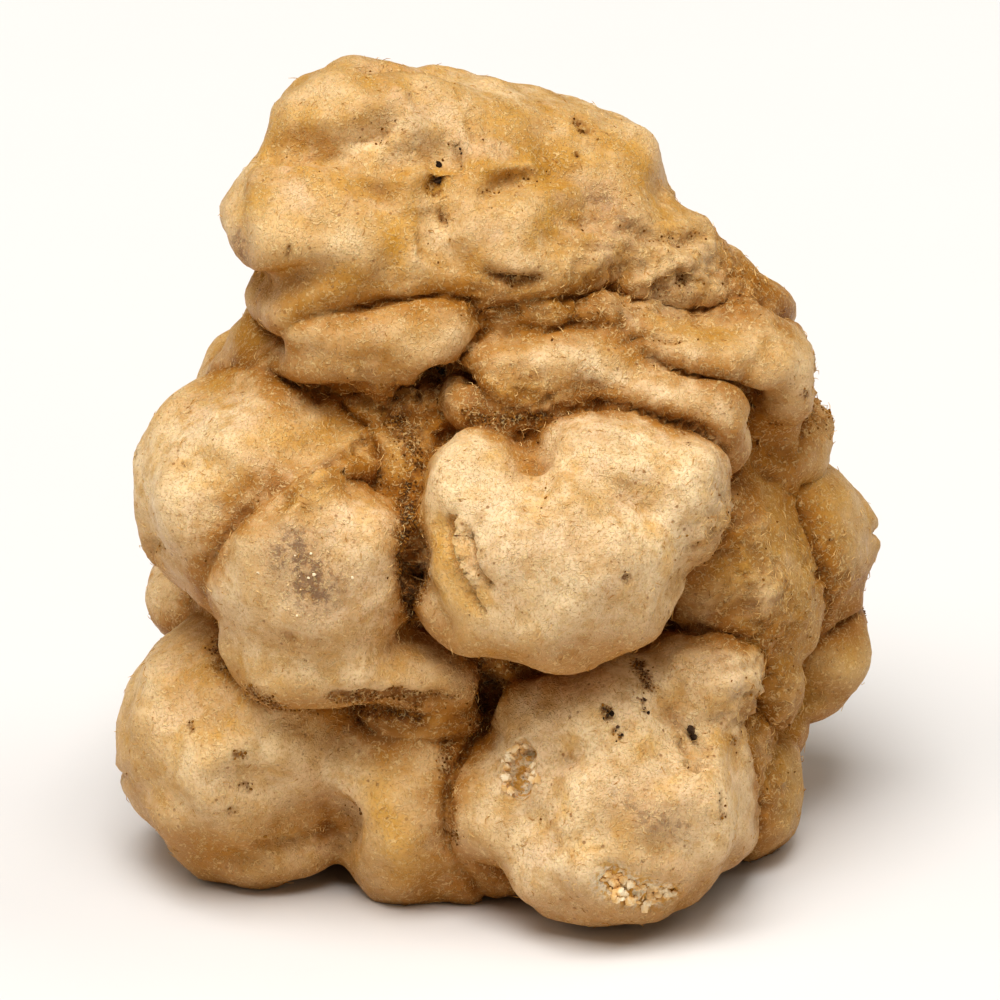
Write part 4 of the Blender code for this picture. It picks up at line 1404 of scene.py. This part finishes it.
@dataclass
class Studio:
    """The pale floor, the soft lights and the camera. Lengths are in metres."""

    floor_size: float = 4.0
    floor_colour: Colour = (0.758, 0.742, 0.728)
    floor_shade: float = 0.985
    sky: Colour = (1.0, 0.91, 0.76)
    sky_strength: float = 0.10
    elevation: float = 22.0
    distance: float = 1.2
    span: float = 0.1
    sensor: float = 36.0
    middle: float = 0.035
    aim_up: float = 0.0343
    aim_back: float = 0.015

    def build_floor(self) -> None:
        """Lays the pale floor under the truffle."""
        mesh = bpy.data.meshes.new("floor")
        bm = bmesh.new()
        bmesh.ops.create_grid(bm, x_segments=1, y_segments=1, size=self.floor_size / 2)
        bm.to_mesh(mesh)
        bm.free()
        floor = stand("floor", mesh)
        made = Nodes("floor_paper")
        grain = made.noise(made.place(), 30.0, 2.0)
        shade = tuple(self.floor_shade * part for part in self.floor_colour)
        made.link(made.mix(grain, self.floor_colour, shade), made.shader.inputs["Base Color"])
        made.fix(Roughness=0.9)
        mesh.materials.append(made.material)
        floor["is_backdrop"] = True

    def add_light(self, light: Light) -> None:
        """Adds a soft square light that faces the truffle's middle.

        Args:
            light: Where it is, and how large and how bright.
        """
        data = bpy.data.lights.new(light.name, "AREA")
        data.size = light.size
        data.energy = light.power
        data.color = light.colour
        lamp = stand(light.name, data)
        lamp.location = light.at
        facing = Vector((0, 0, self.middle)) - Vector(light.at)
        lamp.rotation_euler = facing.to_track_quat("-Z", "Y").to_euler()

    def build_camera(self, low: Vector, high: Vector) -> None:
        """Sets the camera in front of and a little above the truffle.

        Args:
            low: The lowest corner of the solid's box.
            high: The highest corner of the solid's box.
        """
        lean = math.radians(self.elevation)
        up = Vector((0, math.sin(lean), math.cos(lean)))
        back = Vector((0, -math.cos(lean), math.sin(lean)))
        foot = Vector(((low.x + high.x) / 2, (low.y + high.y) / 2, low.z)) + Vector(FORM_ORIGIN) * MM
        target = foot + up * self.aim_up + back * self.aim_back
        data = bpy.data.cameras.new("camera")
        data.sensor_width = self.sensor
        data.lens = self.sensor * self.distance / self.span
        camera = stand("camera", data)
        camera.location = target + back * self.distance
        camera.rotation_euler = (-back).to_track_quat("-Z", "Y").to_euler()
        bpy.context.scene.camera = camera

    def build(self, low: Vector, high: Vector) -> None:
        """Sets up the studio round the solid's box.

        Args:
            low: The box's lowest corner.
            high: The box's highest corner.
        """
        self.build_floor()
        self.build_camera(low, high)
        for light in LIGHTS:
            self.add_light(light)
        world = bpy.data.worlds.new("sky")
        world.use_nodes = True
        background = world.node_tree.nodes["Background"]
        background.inputs["Color"].default_value = opaque(self.sky)
        background.inputs["Strength"].default_value = self.sky_strength
        bpy.context.scene.world = world
        bpy.context.scene.view_settings.view_transform = "Standard"
        bpy.context.scene.view_settings.look = "Medium High Contrast"


def dress(piece: bpy.types.Object) -> None:
    """Lets a piece ride on the truffle's one body, and logs how many faces it has."""
    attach(piece, "root")
    LOG.info("%s: %d faces", piece.name, len(piece.data.polygons))


def main() -> None:
    """Builds the dressed truffle and the studio round it."""
    logging.basicConfig(level=logging.INFO, format="%(message)s")
    cad_low, cad_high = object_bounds()
    body, skin = TruffleSkin().build()
    dress(body)
    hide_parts(NODE)
    masks = skin.masks
    soiled = masks["soil"] ** 2 + 0.5 * masks["crease"] * masks["hollow"]
    dress(LooseBits("soil_grains", SOIL_FINISH, (0.06, 0.17), 5).build(skin, soiled, SOIL_GRAINS))
    dress(LooseBits("dark_grains", DARK_FINISH, (0.70, 1.40), 6).build(skin, None, 0, DARK_CLUSTERS))
    dress(LooseBits("pale_crumbs", FLESH_FINISH, (0.60, 1.30), 7).build(skin, None, 0, PALE_CLUSTERS))
    hairy = 0.12 + masks["valley"] + masks["rough"] + 0.6 * masks["hollow"]
    dress(LooseBits("felt_fibres", FELT_FINISH, (0.50, 1.10), 8, fibre=True).build(skin, hairy, FELT_FIBRES))
    Studio().build(cad_low, cad_high)


if __name__ == "__main__":
    main()
